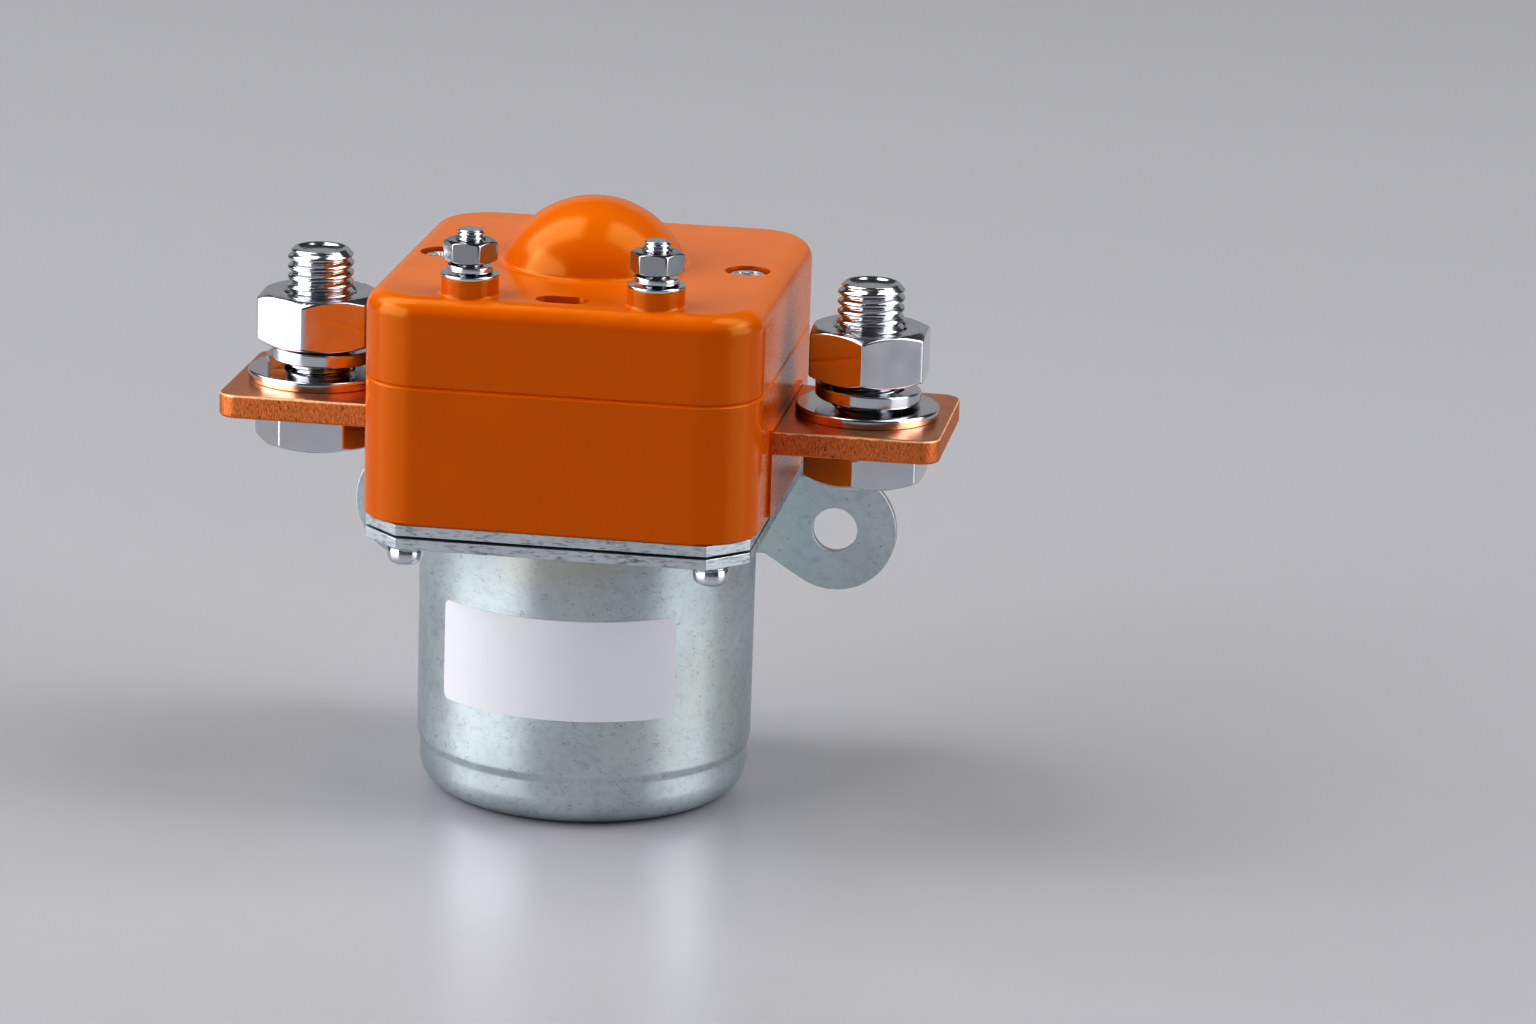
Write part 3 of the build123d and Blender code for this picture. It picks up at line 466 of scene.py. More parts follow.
def corner(centre_r, centre_z, radius, start_deg, stop_deg, steps=4):
    """Points of an arc in a profile."""
    turns = [math.radians(start_deg + (stop_deg - start_deg) * i / steps) for i in range(steps + 1)]
    return [(centre_r + radius * math.cos(t), centre_z + radius * math.sin(t)) for t in turns]


def hexagon_rays(flats, rounding, flat_steps=14, corner_steps=4):
    """(angle, radius) round a hexagon with rounded corners, one corner towards -Y."""
    apothem = flats / 2
    reach = (apothem - rounding) / math.cos(math.pi / 6)
    last_flat = math.atan2(reach * math.sin(math.pi / 6), apothem)
    rays = []
    for side in range(6):
        middle = side * math.pi / 3
        for step in range(flat_steps + 1):
            turn = last_flat * (2 * step / flat_steps - 1)
            rays.append((middle + turn, apothem / math.cos(turn)))
        for step in range(1, corner_steps):
            off = (math.pi / 6 - last_flat) * (2 * step / corner_steps - 1)
            across = reach * math.sin(off)
            rays.append((middle + math.pi / 6 + off,
                         reach * math.cos(off) + math.sqrt(rounding**2 - across**2)))
    return rays


def hexagon_mesh(name, flats, face_radius, low, high, bore=None, turn=0.0, place=(0.0, 0.0)):
    """A nut or a bolt head: a hexagon cut by a cone at its ends, with soft edges."""
    soft = 0.012 * flats
    corner_rounding = 3.0 * soft
    slope = math.tan(CHAMFER_ANGLE)
    face_ease, rim_ease = 1.4 * soft * slope, 0.25 * soft
    rays = hexagon_rays(flats, corner_rounding)

    def outer_end(radius, face, inwards):
        """Points from the flat face out over the chamfer to a side, at one end."""
        drop = (radius - face_radius) * slope
        return [(face_radius - soft, face), (face_radius + soft, face + inwards * face_ease),
                (radius - soft, face + inwards * (drop - soft * slope)),
                (radius - rim_ease, face + inwards * (drop + rim_ease)),
                (radius, face + inwards * (drop + soft))]

    def profile(radius):
        """Points from the middle or the bore round to the middle or the bore again, lower end first."""
        outside = outer_end(radius, low, 1) + outer_end(radius, high, -1)[::-1]
        if bore is None:
            return [(0.0, low), *outside, (0.0, high)]
        sunk = 0.13 * bore
        return [(bore, low + sunk), (bore + sunk, low), *outside, (bore + sunk, high), (bore, high - sunk)]

    profiles = [profile(radius) for _, radius in rays]
    rings = []
    for level in range(len(profiles[0])):
        ring = []
        for (angle, _), points in zip(rays, profiles):
            r, z = points[level]
            direction = angle + turn
            ring.append((place[0] + r * math.cos(direction), place[1] + r * math.sin(direction), z))
        rings.append(ring)
    return ring_mesh(name, rings, bore is not None)


def washer_mesh(name, inner, outer, thickness):
    """A punched washer: rolled over on its upper edge, sharper below."""
    roll = 0.28 * thickness
    crisp = 0.08 * thickness
    profile = [(inner, crisp), (inner + crisp, 0.0), (outer - crisp, 0.0), (outer, crisp)]
    profile += corner(outer - roll, thickness - roll, roll, 0, 90)
    profile += corner(inner + roll, thickness - roll, roll, 90, 180)
    return turned_mesh(name, profile, WASHER_ROUND, looped=True)


def cross_cutter(top, depth, long_half, short_half):
    """A tapered cross that cuts a screw's recess."""
    def outline(long_side, short_side, height):
        corners = [(short_side, short_side), (short_side, long_side), (-short_side, long_side),
                   (-short_side, short_side), (-long_side, short_side), (-long_side, -short_side),
                   (-short_side, -short_side), (-short_side, -long_side), (short_side, -long_side),
                   (short_side, -short_side), (long_side, -short_side), (long_side, short_side)]
        return [(x, y, height) for x, y in corners]
    floor_long, floor_short = 0.6 * long_half, 0.7 * short_half
    rings = [outline(floor_long, floor_short, top - depth), outline(long_half, short_half, top),
             outline(long_half, short_half, top + depth)]
    return ring_mesh("cross_cutter", rings)


def cross_screw(name, radius, height, edge, shank, long_half, short_half, depth):
    """A pan-head screw pointing down, its head's underside at zero."""
    shank_radius, tip_ease, rim_ease, crown = 1.5 * MM, 0.2 * MM, 0.1 * MM, 0.02 * MM
    profile = [(0.0, -shank), (shank_radius - tip_ease, -shank), (shank_radius, -shank + tip_ease),
               (shank_radius, 0.0), (radius - rim_ease, 0.0), (radius, rim_ease)]
    profile += corner(radius - edge, height - edge, edge, 0, 90, steps=8)
    profile += [(0.0, height + crown)]
    obj = new_piece(name, turned_mesh(name, profile, SCREW_ROUND))
    cutter = new_piece("cross_cutter", cross_cutter(height, depth, long_half, short_half))
    cut = obj.modifiers.new("cross", "BOOLEAN")
    cut.operation = "DIFFERENCE"
    cut.solver = "EXACT"
    cut.object = cutter
    mesh = settle(obj).data
    bpy.data.objects.remove(obj)
    bpy.data.objects.remove(cutter)
    return mesh


def joined(name, meshes):
    """One mesh from several closed ones."""
    shape = bmesh.new()
    for mesh in meshes:
        shape.from_mesh(mesh)
    whole = bpy.data.meshes.new(name)
    shape.to_mesh(whole)
    shape.free()
    return whole


def threaded_rod(name, sizes, low, high, place, material, dish=0.0):
    """sizes are radius, pitch, depth, chamfer, round steps and steps in a pitch."""
    radius, pitch, depth, chamfer, round_steps, steps = sizes
    obj = new_piece(name)
    add_tree(obj, shared_tree("threaded_rod", thread_tree), {
        "Radius": radius, "Pitch": pitch, "Depth": depth, "Chamfer": chamfer, "Bottom": low, "Top": high,
        "X": place[0], "Y": place[1], "Dish": dish, "Round": round_steps, "Steps": steps,
        "Finish": material,
    })
    return settle(obj)


def seat_copies(obj, node, material, width, depth=0.0, rows=1, y=0.0, low=None, first_turn=0.0,
                turn_step=0.0):
    """Two columns of the object stand for a node, on the node's lowest point unless low is given."""
    centre = (0.0, y, box_low(node) if low is None else low)
    add_tree(obj, shared_tree("piece_in_rows", row_tree), {
        "Columns": 2, "Rows": rows, "Width": width, "Depth": depth, "Centre": centre,
        "First turn": first_turn, "Turn step": turn_step, "Finish": material,
    })
    settle(obj)
    even_light(obj)
    seat(obj, node, material)


def seat_fasteners(node, mesh, material, width, **places):
    """Copies of one fastener's mesh stand for a node."""
    seat_copies(new_piece(f"{node}_finished", mesh), node, material, width, **places)


def seat_split_washers(node, shape, material, width, **places):
    """Split washers of one shape stand for a node."""
    washer = new_piece(f"{node}_finished")
    add_tree(washer, shared_tree("split_washer", split_washer_tree),
             {**shape, "Height": tall(node), "Turn share": SPLIT_WASHER_TURN, "Finish": material})
    seat_copies(washer, node, material, width, **places)


# Finishes

def start_finish(name, metallic=0.0, roughness=0.5):
    material = bpy.data.materials.new(name)
    material.use_nodes = True
    tree = material.node_tree
    shader = tree.nodes["Principled BSDF"]
    shader.inputs["Metallic"].default_value = metallic
    shader.inputs["Roughness"].default_value = roughness
    place = tree.nodes.new("ShaderNodeTexCoord").outputs["Object"]
    return material, tree, shader, place


def clouds(tree, place, size, detail=3.0, stretch=(1.0, 1.0, 1.0), rough=0.5):
    """Noise whose patches are about that size, in metres, and longer where the stretch is above one."""
    scale = tuple(1.0 / (size * part) for part in stretch)
    spread = add_node(tree, "ShaderNodeMapping", {"Vector": place, "Scale": scale}).outputs[0]
    return add_node(tree, "ShaderNodeTexNoise", {
        "Vector": spread, "Scale": 1.0, "Detail": detail, "Roughness": rough,
    }).outputs["Fac"]


def mix(tree, share, below, above):
    """Two colours mixed by a share; each is a socket or three numbers."""
    below, above = (value if isinstance(value, bpy.types.NodeSocket) else (*value, 1.0)
                    for value in (below, above))
    return add_node(tree, "ShaderNodeMix", {0: share, 6: below, 7: above}, data_type="RGBA").outputs[2]


def height_of(tree, place):
    return add_node(tree, "ShaderNodeSeparateXYZ", {0: place}).outputs[2]


def upward(tree):
    """The surface normal's part that points up."""
    return height_of(tree, tree.nodes.new("ShaderNodeNewGeometry").outputs["Normal"])


def paint(tree, shader, shade, roughness):
    tree.links.new(shade, shader.inputs["Base Color"])
    tree.links.new(roughness, shader.inputs["Roughness"])


def relief(tree, shader, height, distance, strength=1.0):
    bump = add_node(tree, "ShaderNodeBump", {"Height": height, "Distance": distance, "Strength": strength})
    tree.links.new(bump.outputs[0], shader.inputs["Normal"])


def shade_of(colour_value, factor):
    return tuple(min(1.0, part * factor) for part in colour_value)


def orange_finish(base):
    """Glossy moulded plastic with a faint waviness, and painted shade on its upright walls."""
    material, tree, shader, place = start_finish("moulded_orange")
    soft = clouds(tree, place, 9 * MM, 2.0)
    grain = clouds(tree, place, 0.35 * MM, 2.0)
    # painted shade: upright walls get a deeper orange than the faces that point up
    upright_painted_shade = (0.75 * base[0], 0.63 * base[1], base[2])
    shade = mix(tree, ranged(tree, upward(tree), 0.1, 0.9, smooth=True), upright_painted_shade, base)
    shade = mix(tree, ranged(tree, soft, 0.3, 0.7, 0.0, 0.12), shade, shade_of(base, 0.4))
    paint(tree, shader, shade, ranged(tree, grain, 0.3, 0.7, 0.17, 0.23))
    shader.inputs["Specular Tint"].default_value = (1.0, 0.86, 0.28, 1.0)
    height = calc(tree, "MULTIPLY_ADD", grain, 0.02, soft)
    relief(tree, shader, height, 0.06 * MM, 0.5)
    return material


def sheared_edge(tree, place, base, low, high):
    """Colour, share and roughness pattern of a plate's cut edge, upright between two heights."""
    upright = ranged(tree, calc(tree, "ABSOLUTE", upward(tree)), 0.3, 0.6, 1.0, 0.0)
    height = height_of(tree, place)
    within = calc(tree, "MULTIPLY", calc(tree, "GREATER_THAN", height, low),
                  calc(tree, "LESS_THAN", height, high))
    torn = clouds(tree, place, 0.3 * MM, 4.0, (5.0, 5.0, 1.0), 0.6)
    dirt = clouds(tree, place, 2.5 * MM, 3.0)
    stained = calc(tree, "ADD", torn, calc(tree, "MULTIPLY", dirt, 0.5))
    grey = (0.82 * base[0], 0.79 * base[1], 0.80 * base[2])
    cut = mix(tree, ranged(tree, stained, 0.74, 1.0), grey, shade_of(grey, 0.36))
    return cut, calc(tree, "MULTIPLY", upright, within), torn


def zinc_finish(name, base, curl_share, roughness, metallic=0.9, drawn_share=0.0, stain_from=None,
                cut_range=None):
    """Dull zinc plate with cloudy patches, scratches, fine pits, a warm bloom and, if asked, a stain."""
    material, tree, shader, place = start_finish(name, metallic=metallic)
    shader.inputs["Anisotropic"].default_value = drawn_share
    shader.inputs["Specular Tint"].default_value = (0.65, 0.65, 0.65, 1.0)
    shader.inputs["Anisotropic Rotation"].default_value = 0.25
    patches = clouds(tree, place, 14 * MM, 4.0)
    bloom = clouds(tree, place, 25 * MM, 2.0, (1.0, 1.0, 1.6))
    drawn = clouds(tree, place, 0.6 * MM, 3.0, (1.0, 1.0, 12.0))
    specks = clouds(tree, place, 0.9 * MM, 3.0, rough=0.6)
    spangle = clouds(tree, place, 1.8 * MM, 4.0, (1.0, 1.0, 0.8), 0.6)
    shade = mix(tree, ranged(tree, patches, 0.3, 0.7), shade_of(base, 0.84), shade_of(base, 1.08))
    shade = mix(tree, ranged(tree, spangle, 0.45, 0.75, 0.0, 0.45, True), shade, shade_of(base, 0.7))
    warm = (base[0] * 1.02, base[1], base[2] * 0.86)
    shade = mix(tree, ranged(tree, bloom, 0.5, 0.75, 0.0, 0.7, True), shade, warm)
    if stain_from is not None:
        across, _, height = add_node(tree, "ShaderNodeSeparateXYZ", {0: place}).outputs
        high_up = ranged(tree, height, stain_from, stain_from + 9 * MM, 0.0, 0.55, True)
        near_middle = ranged(tree, calc(tree, "ABSOLUTE", across), 4 * MM, 14 * MM, 1.0, 0.0, True)
        shade = mix(tree, calc(tree, "MULTIPLY", high_up, near_middle), shade, (0.60, 0.56, 0.45))
    # thin curls where one noise passes its middle, kept to patches by another
    line = clouds(tree, place, 1.7 * MM, 3.0, (1.3, 1.3, 0.8), 0.55)
    curl = calc(tree, "ABSOLUTE", calc(tree, "SUBTRACT", line, 0.5))
    here = ranged(tree, clouds(tree, place, 1.9 * MM, 2.0), 0.36, 0.6, 0.0, curl_share, True)
    scratch = calc(tree, "MULTIPLY", ranged(tree, curl, 0.0, 0.011, 1.0, 0.0), here)
    shade = mix(tree, scratch, shade, shade_of(base, 0.35))
    pits = ranged(tree, specks, 0.68, 0.74, 0.0, 0.5, True)
    shade = mix(tree, pits, shade, shade_of(base, 0.38))
    if cut_range is not None:
        cut, share, torn = sheared_edge(tree, place, base, *cut_range)
        shade = mix(tree, share, shade, cut)
        pits = calc(tree, "MULTIPLY_ADD", calc(tree, "MULTIPLY", torn, share), 1.2, pits)
    uneven = ranged(tree, patches, 0.3, 0.7, roughness - 0.05, roughness + 0.06)
    paint(tree, shader, shade, calc(tree, "MULTIPLY_ADD", pits, 0.3, uneven))
    height = calc(tree, "SUBTRACT", calc(tree, "MULTIPLY", drawn, 0.25), pits)
    relief(tree, shader, height, 0.03 * MM, 0.8)
    return material


def nickel_finish(name, base, roughness, depth, metallic=1.0):
    """Bright plating with hairline marks."""
    material, tree, shader, place = start_finish(name, metallic=metallic)
    patches = clouds(tree, place, 3 * MM, 3.0)
    marks = clouds(tree, place, 0.25 * MM, 3.0, (6.0, 1.0, 1.0))
    specks = clouds(tree, place, 0.5 * MM, 2.0)
    shade = mix(tree, ranged(tree, patches, 0.3, 0.7), shade_of(base, 0.93), base)
    shade = mix(tree, ranged(tree, specks, 0.72, 0.78, 0.0, 0.4), shade, shade_of(base, 0.45))
    paint(tree, shader, shade, ranged(tree, patches, 0.3, 0.7, 0.7 * roughness, 1.3 * roughness))
    relief(tree, shader, calc(tree, "ADD", marks, calc(tree, "MULTIPLY", patches, 0.6)), depth, 0.3)
    return material


def copper_finish(face, edge, high):
    """Rolled copper: brushed along the bar on its faces, rough where it was sheared, with a painted
    highlight along the upper edge.
    """
    material, tree, shader, place = start_finish("copper_bar", metallic=1.0)
    flat = ranged(tree, calc(tree, "ABSOLUTE", upward(tree)), 0.55, 0.9)
    brushed = clouds(tree, place, 0.3 * MM, 3.0, (14.0, 1.0, 1.0))
    blotch = clouds(tree, place, 4 * MM, 4.0)
    sheared = clouds(tree, place, 0.22 * MM, 4.0, (1.0, 1.0, 3.0), 0.6)
    specks = clouds(tree, place, 0.45 * MM, 3.0, (1.0, 1.0, 1.6))
    rolled = mix(tree, ranged(tree, brushed, 0.3, 0.7), shade_of(face, 0.9), shade_of(face, 1.08))
    rolled = mix(tree, ranged(tree, blotch, 0.55, 0.8, 0.0, 0.4, True), rolled, shade_of(edge, 1.15))
    cut = mix(tree, ranged(tree, sheared, 0.35, 0.65), shade_of(edge, 0.68), shade_of(edge, 1.15))
    cut = mix(tree, ranged(tree, specks, 0.64, 0.70, 0.0, 0.75), cut, shade_of(edge, 0.2))
    # painted highlight: a bright, less metallic line along the upper edge
    highlight_height = calc(tree, "MULTIPLY_ADD", clouds(tree, place, 1.5 * MM, 3.0), 0.6 * MM, height_of(tree, place))
    painted_highlight = ranged(tree, highlight_height, high - 0.10 * MM, high + 0.12 * MM)
    cut = mix(tree, painted_highlight, cut, (1.0, 0.70, 0.42))
    solid = calc(tree, "MULTIPLY", painted_highlight, calc(tree, "SUBTRACT", 1.0, flat))
    tree.links.new(calc(tree, "MULTIPLY_ADD", solid, -0.7, 1.0), shader.inputs["Metallic"])
    uneven = calc(tree, "MULTIPLY_ADD", flat, -0.14, ranged(tree, blotch, 0.3, 0.7, 0.42, 0.54))
    paint(tree, shader, mix(tree, flat, cut, rolled), uneven)
    rough_edge = calc(tree, "MULTIPLY", sheared, calc(tree, "SUBTRACT", 1.15, flat))
    relief(tree, shader, calc(tree, "MULTIPLY_ADD", brushed, 0.12, rough_edge), 0.08 * MM, 0.7)
    return material


def plain_finish(name, base, metallic, roughness, size, depth=0.02, stretch=(1.0, 1.0, 1.0)):
    """A finish with its own clouding, grain and unevenness, for the simpler pieces."""
    material, tree, shader, place = start_finish(name, metallic=metallic)
    patches = clouds(tree, place, size, 4.0, stretch)
    grain = clouds(tree, place, size * 0.2, 2.0, stretch)
    shade = mix(tree, ranged(tree, patches, 0.3, 0.7), shade_of(base, 0.85), shade_of(base, 1.08))
    paint(tree, shader, shade, ranged(tree, patches, 0.3, 0.7, roughness - 0.06, roughness + 0.08))
    relief(tree, shader, calc(tree, "ADD", patches, grain), depth * MM, 0.5)
    return material


def winding_finish(base):
    """Layers of enamelled wire laid side by side."""
    material, tree, shader, place = start_finish("enamelled_winding", metallic=0.9, roughness=0.3)
    wire_radius = 0.35 * MM
    wire = calc(tree, "PINGPONG", calc(tree, "MULTIPLY", height_of(tree, place), 1.0 / wire_radius), 1.0)
    patches = clouds(tree, place, 3 * MM)
    shade = mix(tree, patches, shade_of(base, 0.75), shade_of(base, 1.1))
    tree.links.new(shade, shader.inputs["Base Color"])
    relief(tree, shader, wire, 0.12 * MM)
    return material


def label_finish(base):
    """Coated paper with a soft sheen."""
    material, tree, shader, place = start_finish("white_label")
    patches = clouds(tree, place, 12 * MM, 3.0)
    fibre = clouds(tree, place, 0.4 * MM, 3.0)
    shade = mix(tree, patches, shade_of(base, 0.97), base)
    paint(tree, shader, shade, ranged(tree, fibre, 0.3, 0.7, 0.30, 0.40))
    relief(tree, shader, calc(tree, "MULTIPLY_ADD", fibre, 0.15, patches), 0.05 * MM, 0.25)
    return material


def floor_finish(base):
    """Smooth grey studio floor with a faint mottle."""
    material, tree, shader, place = start_finish("studio_floor")
    mottle = clouds(tree, place, 6 * MM, 5.0)
    fine = clouds(tree, place, 0.8 * MM, 2.0)
    shade = mix(tree, mottle, shade_of(base, 0.985), shade_of(base, 1.015))
    paint(tree, shader, shade, ranged(tree, mottle, 0.3, 0.7, 0.29, 0.31))
    relief(tree, shader, fine, 0.005 * MM, 0.05)
    return material


def finish(name):
    """The named finish, made once."""
    colours = bpy.context.scene.contactor_colours
    made = bpy.data.materials.get(name)
    if made:
        return made
    if name in PLAIN_FINISHES:
        return plain_finish(name, *PLAIN_FINISHES[name])
    # the cut edges of the bracket and of the yoke plate on it
    plate_edges = (box_low("yoke_plate") - 4.0 * MM, box_high("yoke_plate"))
    makers = {
        "moulded_orange": lambda: orange_finish(colours.orange),
        "zinc_can": lambda: zinc_finish(name, colours.zinc, curl_share=0.7, roughness=0.34, metallic=0.75,
                                        drawn_share=0.3, stain_from=33 * MM),
        # the sheets take the zinc a fifth lighter, as painted light against the shade on the ear
        "zinc_sheet": lambda: zinc_finish(name, shade_of(colours.zinc, 1.2), curl_share=0.2, roughness=0.30,
                                          cut_range=plate_edges),
        "bright_plate": lambda: nickel_finish(name, colours.nickel, roughness=0.15, depth=0.01 * MM),
        # the coil nuts take a darker copy of the nickel as painted shade
        "nut_plate": lambda: nickel_finish(name, shade_of(colours.nickel, 0.72), roughness=0.12,
                                           depth=0.01 * MM),
        "screw_plate": lambda: nickel_finish(name, colours.nickel, roughness=0.28, depth=0.12 * MM,
                                             metallic=0.7),
        "copper_bar": lambda: copper_finish(colours.copper, colours.copper_edge, box_high("bar_left")),
        "white_label": lambda: label_finish(colours.label),
        "studio_floor": lambda: floor_finish(colours.floor),
        "enamelled_winding": lambda: winding_finish((0.48, 0.17, 0.06)),
    }
    return makers[name]()


# Colour, metallic, roughness, size of the clouding, and where they differ depth in mm and stretch
PLAIN_FINISHES = {
    # near-black for the thin gasket, standing in as painted shade of the gap between the plates
    "gasket_and_gap_shade": ((0.012, 0.012, 0.013), 0.0, 0.6, 2 * MM),
    "turned_iron": ((0.42, 0.42, 0.43), 1.0, 0.35, 2 * MM, 0.02, (4.0, 4.0, 0.3)),
    "drawn_brass": ((0.62, 0.42, 0.16), 1.0, 0.28, 3 * MM, 0.01, (0.4, 0.4, 5.0)),
    "bobbin_plastic": ((0.02, 0.02, 0.022), 0.0, 0.5, 2 * MM),
    "spring_wire": ((0.36, 0.37, 0.39), 1.0, 0.3, 1 * MM, 0.01),
    "rubber_ring": ((0.015, 0.015, 0.015), 0.0, 0.75, 1.5 * MM),
    "bush_plastic": ((0.68, 0.65, 0.57), 0.0, 0.45, 3 * MM),
    "silver_tip": ((0.78, 0.76, 0.70), 1.0, 0.24, 1 * MM, 0.01),
    "magnet_ferrite": ((0.05, 0.05, 0.055), 0.2, 0.6, 1 * MM),
    "lead_cover": ((0.30, 0.02, 0.015), 0.0, 0.4, 1.5 * MM),
}

# Finish of each piece inside
INNER_FINISHES = {
    "turned_iron": ("fixed_core", "plunger", "plunger_rod"),
    "drawn_brass": ("guide_sleeve",),
    "bobbin_plastic": ("bobbin",),
    "enamelled_winding": ("winding",),
    "rubber_ring": ("rest_bumper",),
    "bush_plastic": ("bridge_bush", "spring_cup"),
    "copper_bar": ("contact_bridge",),
    "silver_tip": ("bridge_tips", "fixed_tips"),
    "zinc_sheet": ("spring_seat",),
    "bright_plate": ("rod_nut",),
    "magnet_ferrite": ("blowout_magnets",),
    "lead_cover": ("coil_leads",),
}


# Operators

class ContactorStep(bpy.types.Operator):
    """Base of the building steps"""
    bl_options = {"REGISTER", "UNDO"}

    def execute(self, context):
        self.build(context.scene.contactor_hardware)
        return {"FINISHED"}


class CONTACTOR_OT_can(ContactorStep):
    """Builds the coil can"""
    bl_idname = "contactor.can"
    bl_label = "Can"

    def build(self, sizes):
        can = merged_copy("can")
        even_light(can)
        seat(can, "can", finish("zinc_can"))


class CONTACTOR_OT_plates(ContactorStep):
    """Builds the bracket, the gasket and the yoke plate"""
    bl_idname = "contactor.plates"
    bl_label = "Plates"

    def build(self, sizes):
        for node in ("mounting_bracket", "yoke_plate"):
            plate = merged_copy(node, PLATE_EDGE, steps=3)
            even_light(plate)
            seat(plate, node, finish("zinc_sheet"))
        # a thin gasket between the plates, coloured near-black as painted shade of that gap
        gasket = merged_copy("plate_gasket")
        seat(gasket, "plate_gasket", finish("gasket_and_gap_shade"))


class CONTACTOR_OT_housing(ContactorStep):
    """Builds the two halves of the moulded housing"""
    bl_idname = "contactor.housing"
    bl_label = "Housing"

    def build(self, sizes):
        for node in ("contact_base", "cover"):
            half = merged_copy(node, sizes.edge)
            if node == "cover":
                lower(half, SLOT_FLOOR, sizes.slot_drop)
            even_light(half)
            seat(half, node, finish("moulded_orange"))


class CONTACTOR_OT_bars(ContactorStep):
    """Builds the copper bars"""
    bl_idname = "contactor.bars"
    bl_label = "Copper bars"

    def build(self, sizes):
        for node in ("bar_left", "bar_right"):
            bar = merged_copy(node, BAR_EDGE_SHARE * sizes.edge, BAR_CORNER_ANGLE)
            even_light(bar)
            seat(bar, node, finish("copper_bar"))


class CONTACTOR_OT_main_terminals(ContactorStep):
    """Builds the threaded bolts, nuts and washers of the bars"""
    bl_idname = "contactor.main_terminals"
    bl_label = "Main terminals"

    def build(self, sizes):
        bright = finish("bright_plate")
        thread = (sizes.main_radius, sizes.main_pitch, sizes.main_depth, sizes.main_chamfer, MAIN_ROUND,
                  sizes.steps)
        bar_low = box_low("bar_left")
        head_top = bar_low - sizes.main_collar
        # the collar reaches into the head and the thread into the collar
        collar_low, thread_low = head_top - 0.1 * MM, bar_low - 0.5 * MM
        for node, turn in (("terminal_bolt_left", LEFT_BOLT_TURN), ("terminal_bolt_right", RIGHT_BOLT_TURN)):
            x, _ = middle_of(node)
            head = hexagon_mesh("head", sizes.main_flats, sizes.main_face, box_low(node), head_top,
                                turn=turn, place=(x, 0.0))
            collar = turned_mesh("collar", [(0.0, collar_low), (sizes.main_face, collar_low),
                                            (sizes.main_face, bar_low), (0.0, bar_low)], COLLAR_ROUND)
            collar.transform(Matrix.Translation((x, 0.0, 0.0)))
            rod = threaded_rod(f"{node}_rod", thread, thread_low, box_high(node), (x, 0.0), bright,
                               sizes.main_dish)
            bolt = new_piece(f"{node}_finished", joined(node, [head, collar, rod.data]))
            bpy.data.objects.remove(rod)
            even_light(bolt)
            seat(bolt, node, bright)
        span = box_high("terminal_nuts", 0) - box_low("terminal_nuts", 0) - sizes.main_flats
        bore = sizes.main_radius + MAIN_BORE_GAP
        nut = hexagon_mesh("nut", sizes.main_flats, sizes.main_face, 0.0, tall("terminal_nuts"), bore)
        seat_fasteners("terminal_nuts", nut, bright, span, **MAIN_NUT_TURNS)
        washer = washer_mesh("washer", thickness=tall("terminal_washers"), **MAIN_WASHER)
        seat_fasteners("terminal_washers", washer, bright, span)
        seat_split_washers("terminal_spring_washers", MAIN_SPRING_WASHER, bright, span, **MAIN_SPRING_TURNS)


class CONTACTOR_OT_coil_terminals(ContactorStep):
    """Builds the small coil studs with their nuts and washers"""
    bl_idname = "contactor.coil_terminals"
    bl_label = "Coil terminals"

    def build(self, sizes):
        bright = finish("bright_plate")
        # the finer thread does with two steps fewer in a pitch
        thread = (sizes.coil_radius, sizes.coil_pitch, sizes.coil_depth, sizes.coil_chamfer, COIL_ROUND,
                  sizes.steps - 2)
        for node in ("coil_stud_left", "coil_stud_right"):
            low, (x, y) = box_low(node), middle_of(node)
            foot = turned_mesh("foot", [(radius, low + up) for radius, up in COIL_FOOT], COIL_ROUND)
            foot.transform(Matrix.Translation((x, y, 0.0)))
            rod = threaded_rod(f"{node}_rod", thread, low + COIL_THREAD_START, box_high(node), (x, y),
                               bright)
            stud = new_piece(f"{node}_finished", joined(node, [foot, rod.data]))
            bpy.data.objects.remove(rod)
            even_light(stud)
            seat(stud, node, bright)
        x, y = middle_of("coil_stud_right")
        span = 2 * x
        bore = sizes.coil_radius + COIL_BORE_GAP
        nut = hexagon_mesh("nut", sizes.coil_flats, sizes.coil_face, 0.0, tall("coil_nuts"), bore,
                           turn=COIL_NUT_TURN)
        seat_fasteners("coil_nuts", nut, finish("nut_plate"), span, y=y)
        washer = washer_mesh("washer", thickness=tall("coil_washers"), **COIL_WASHER)
        seat_fasteners("coil_washers", washer, bright, span, y=y)
        seat_split_washers("coil_spring_washers", COIL_SPRING_WASHER, bright, span, y=y, **COIL_SPRING_TURNS)


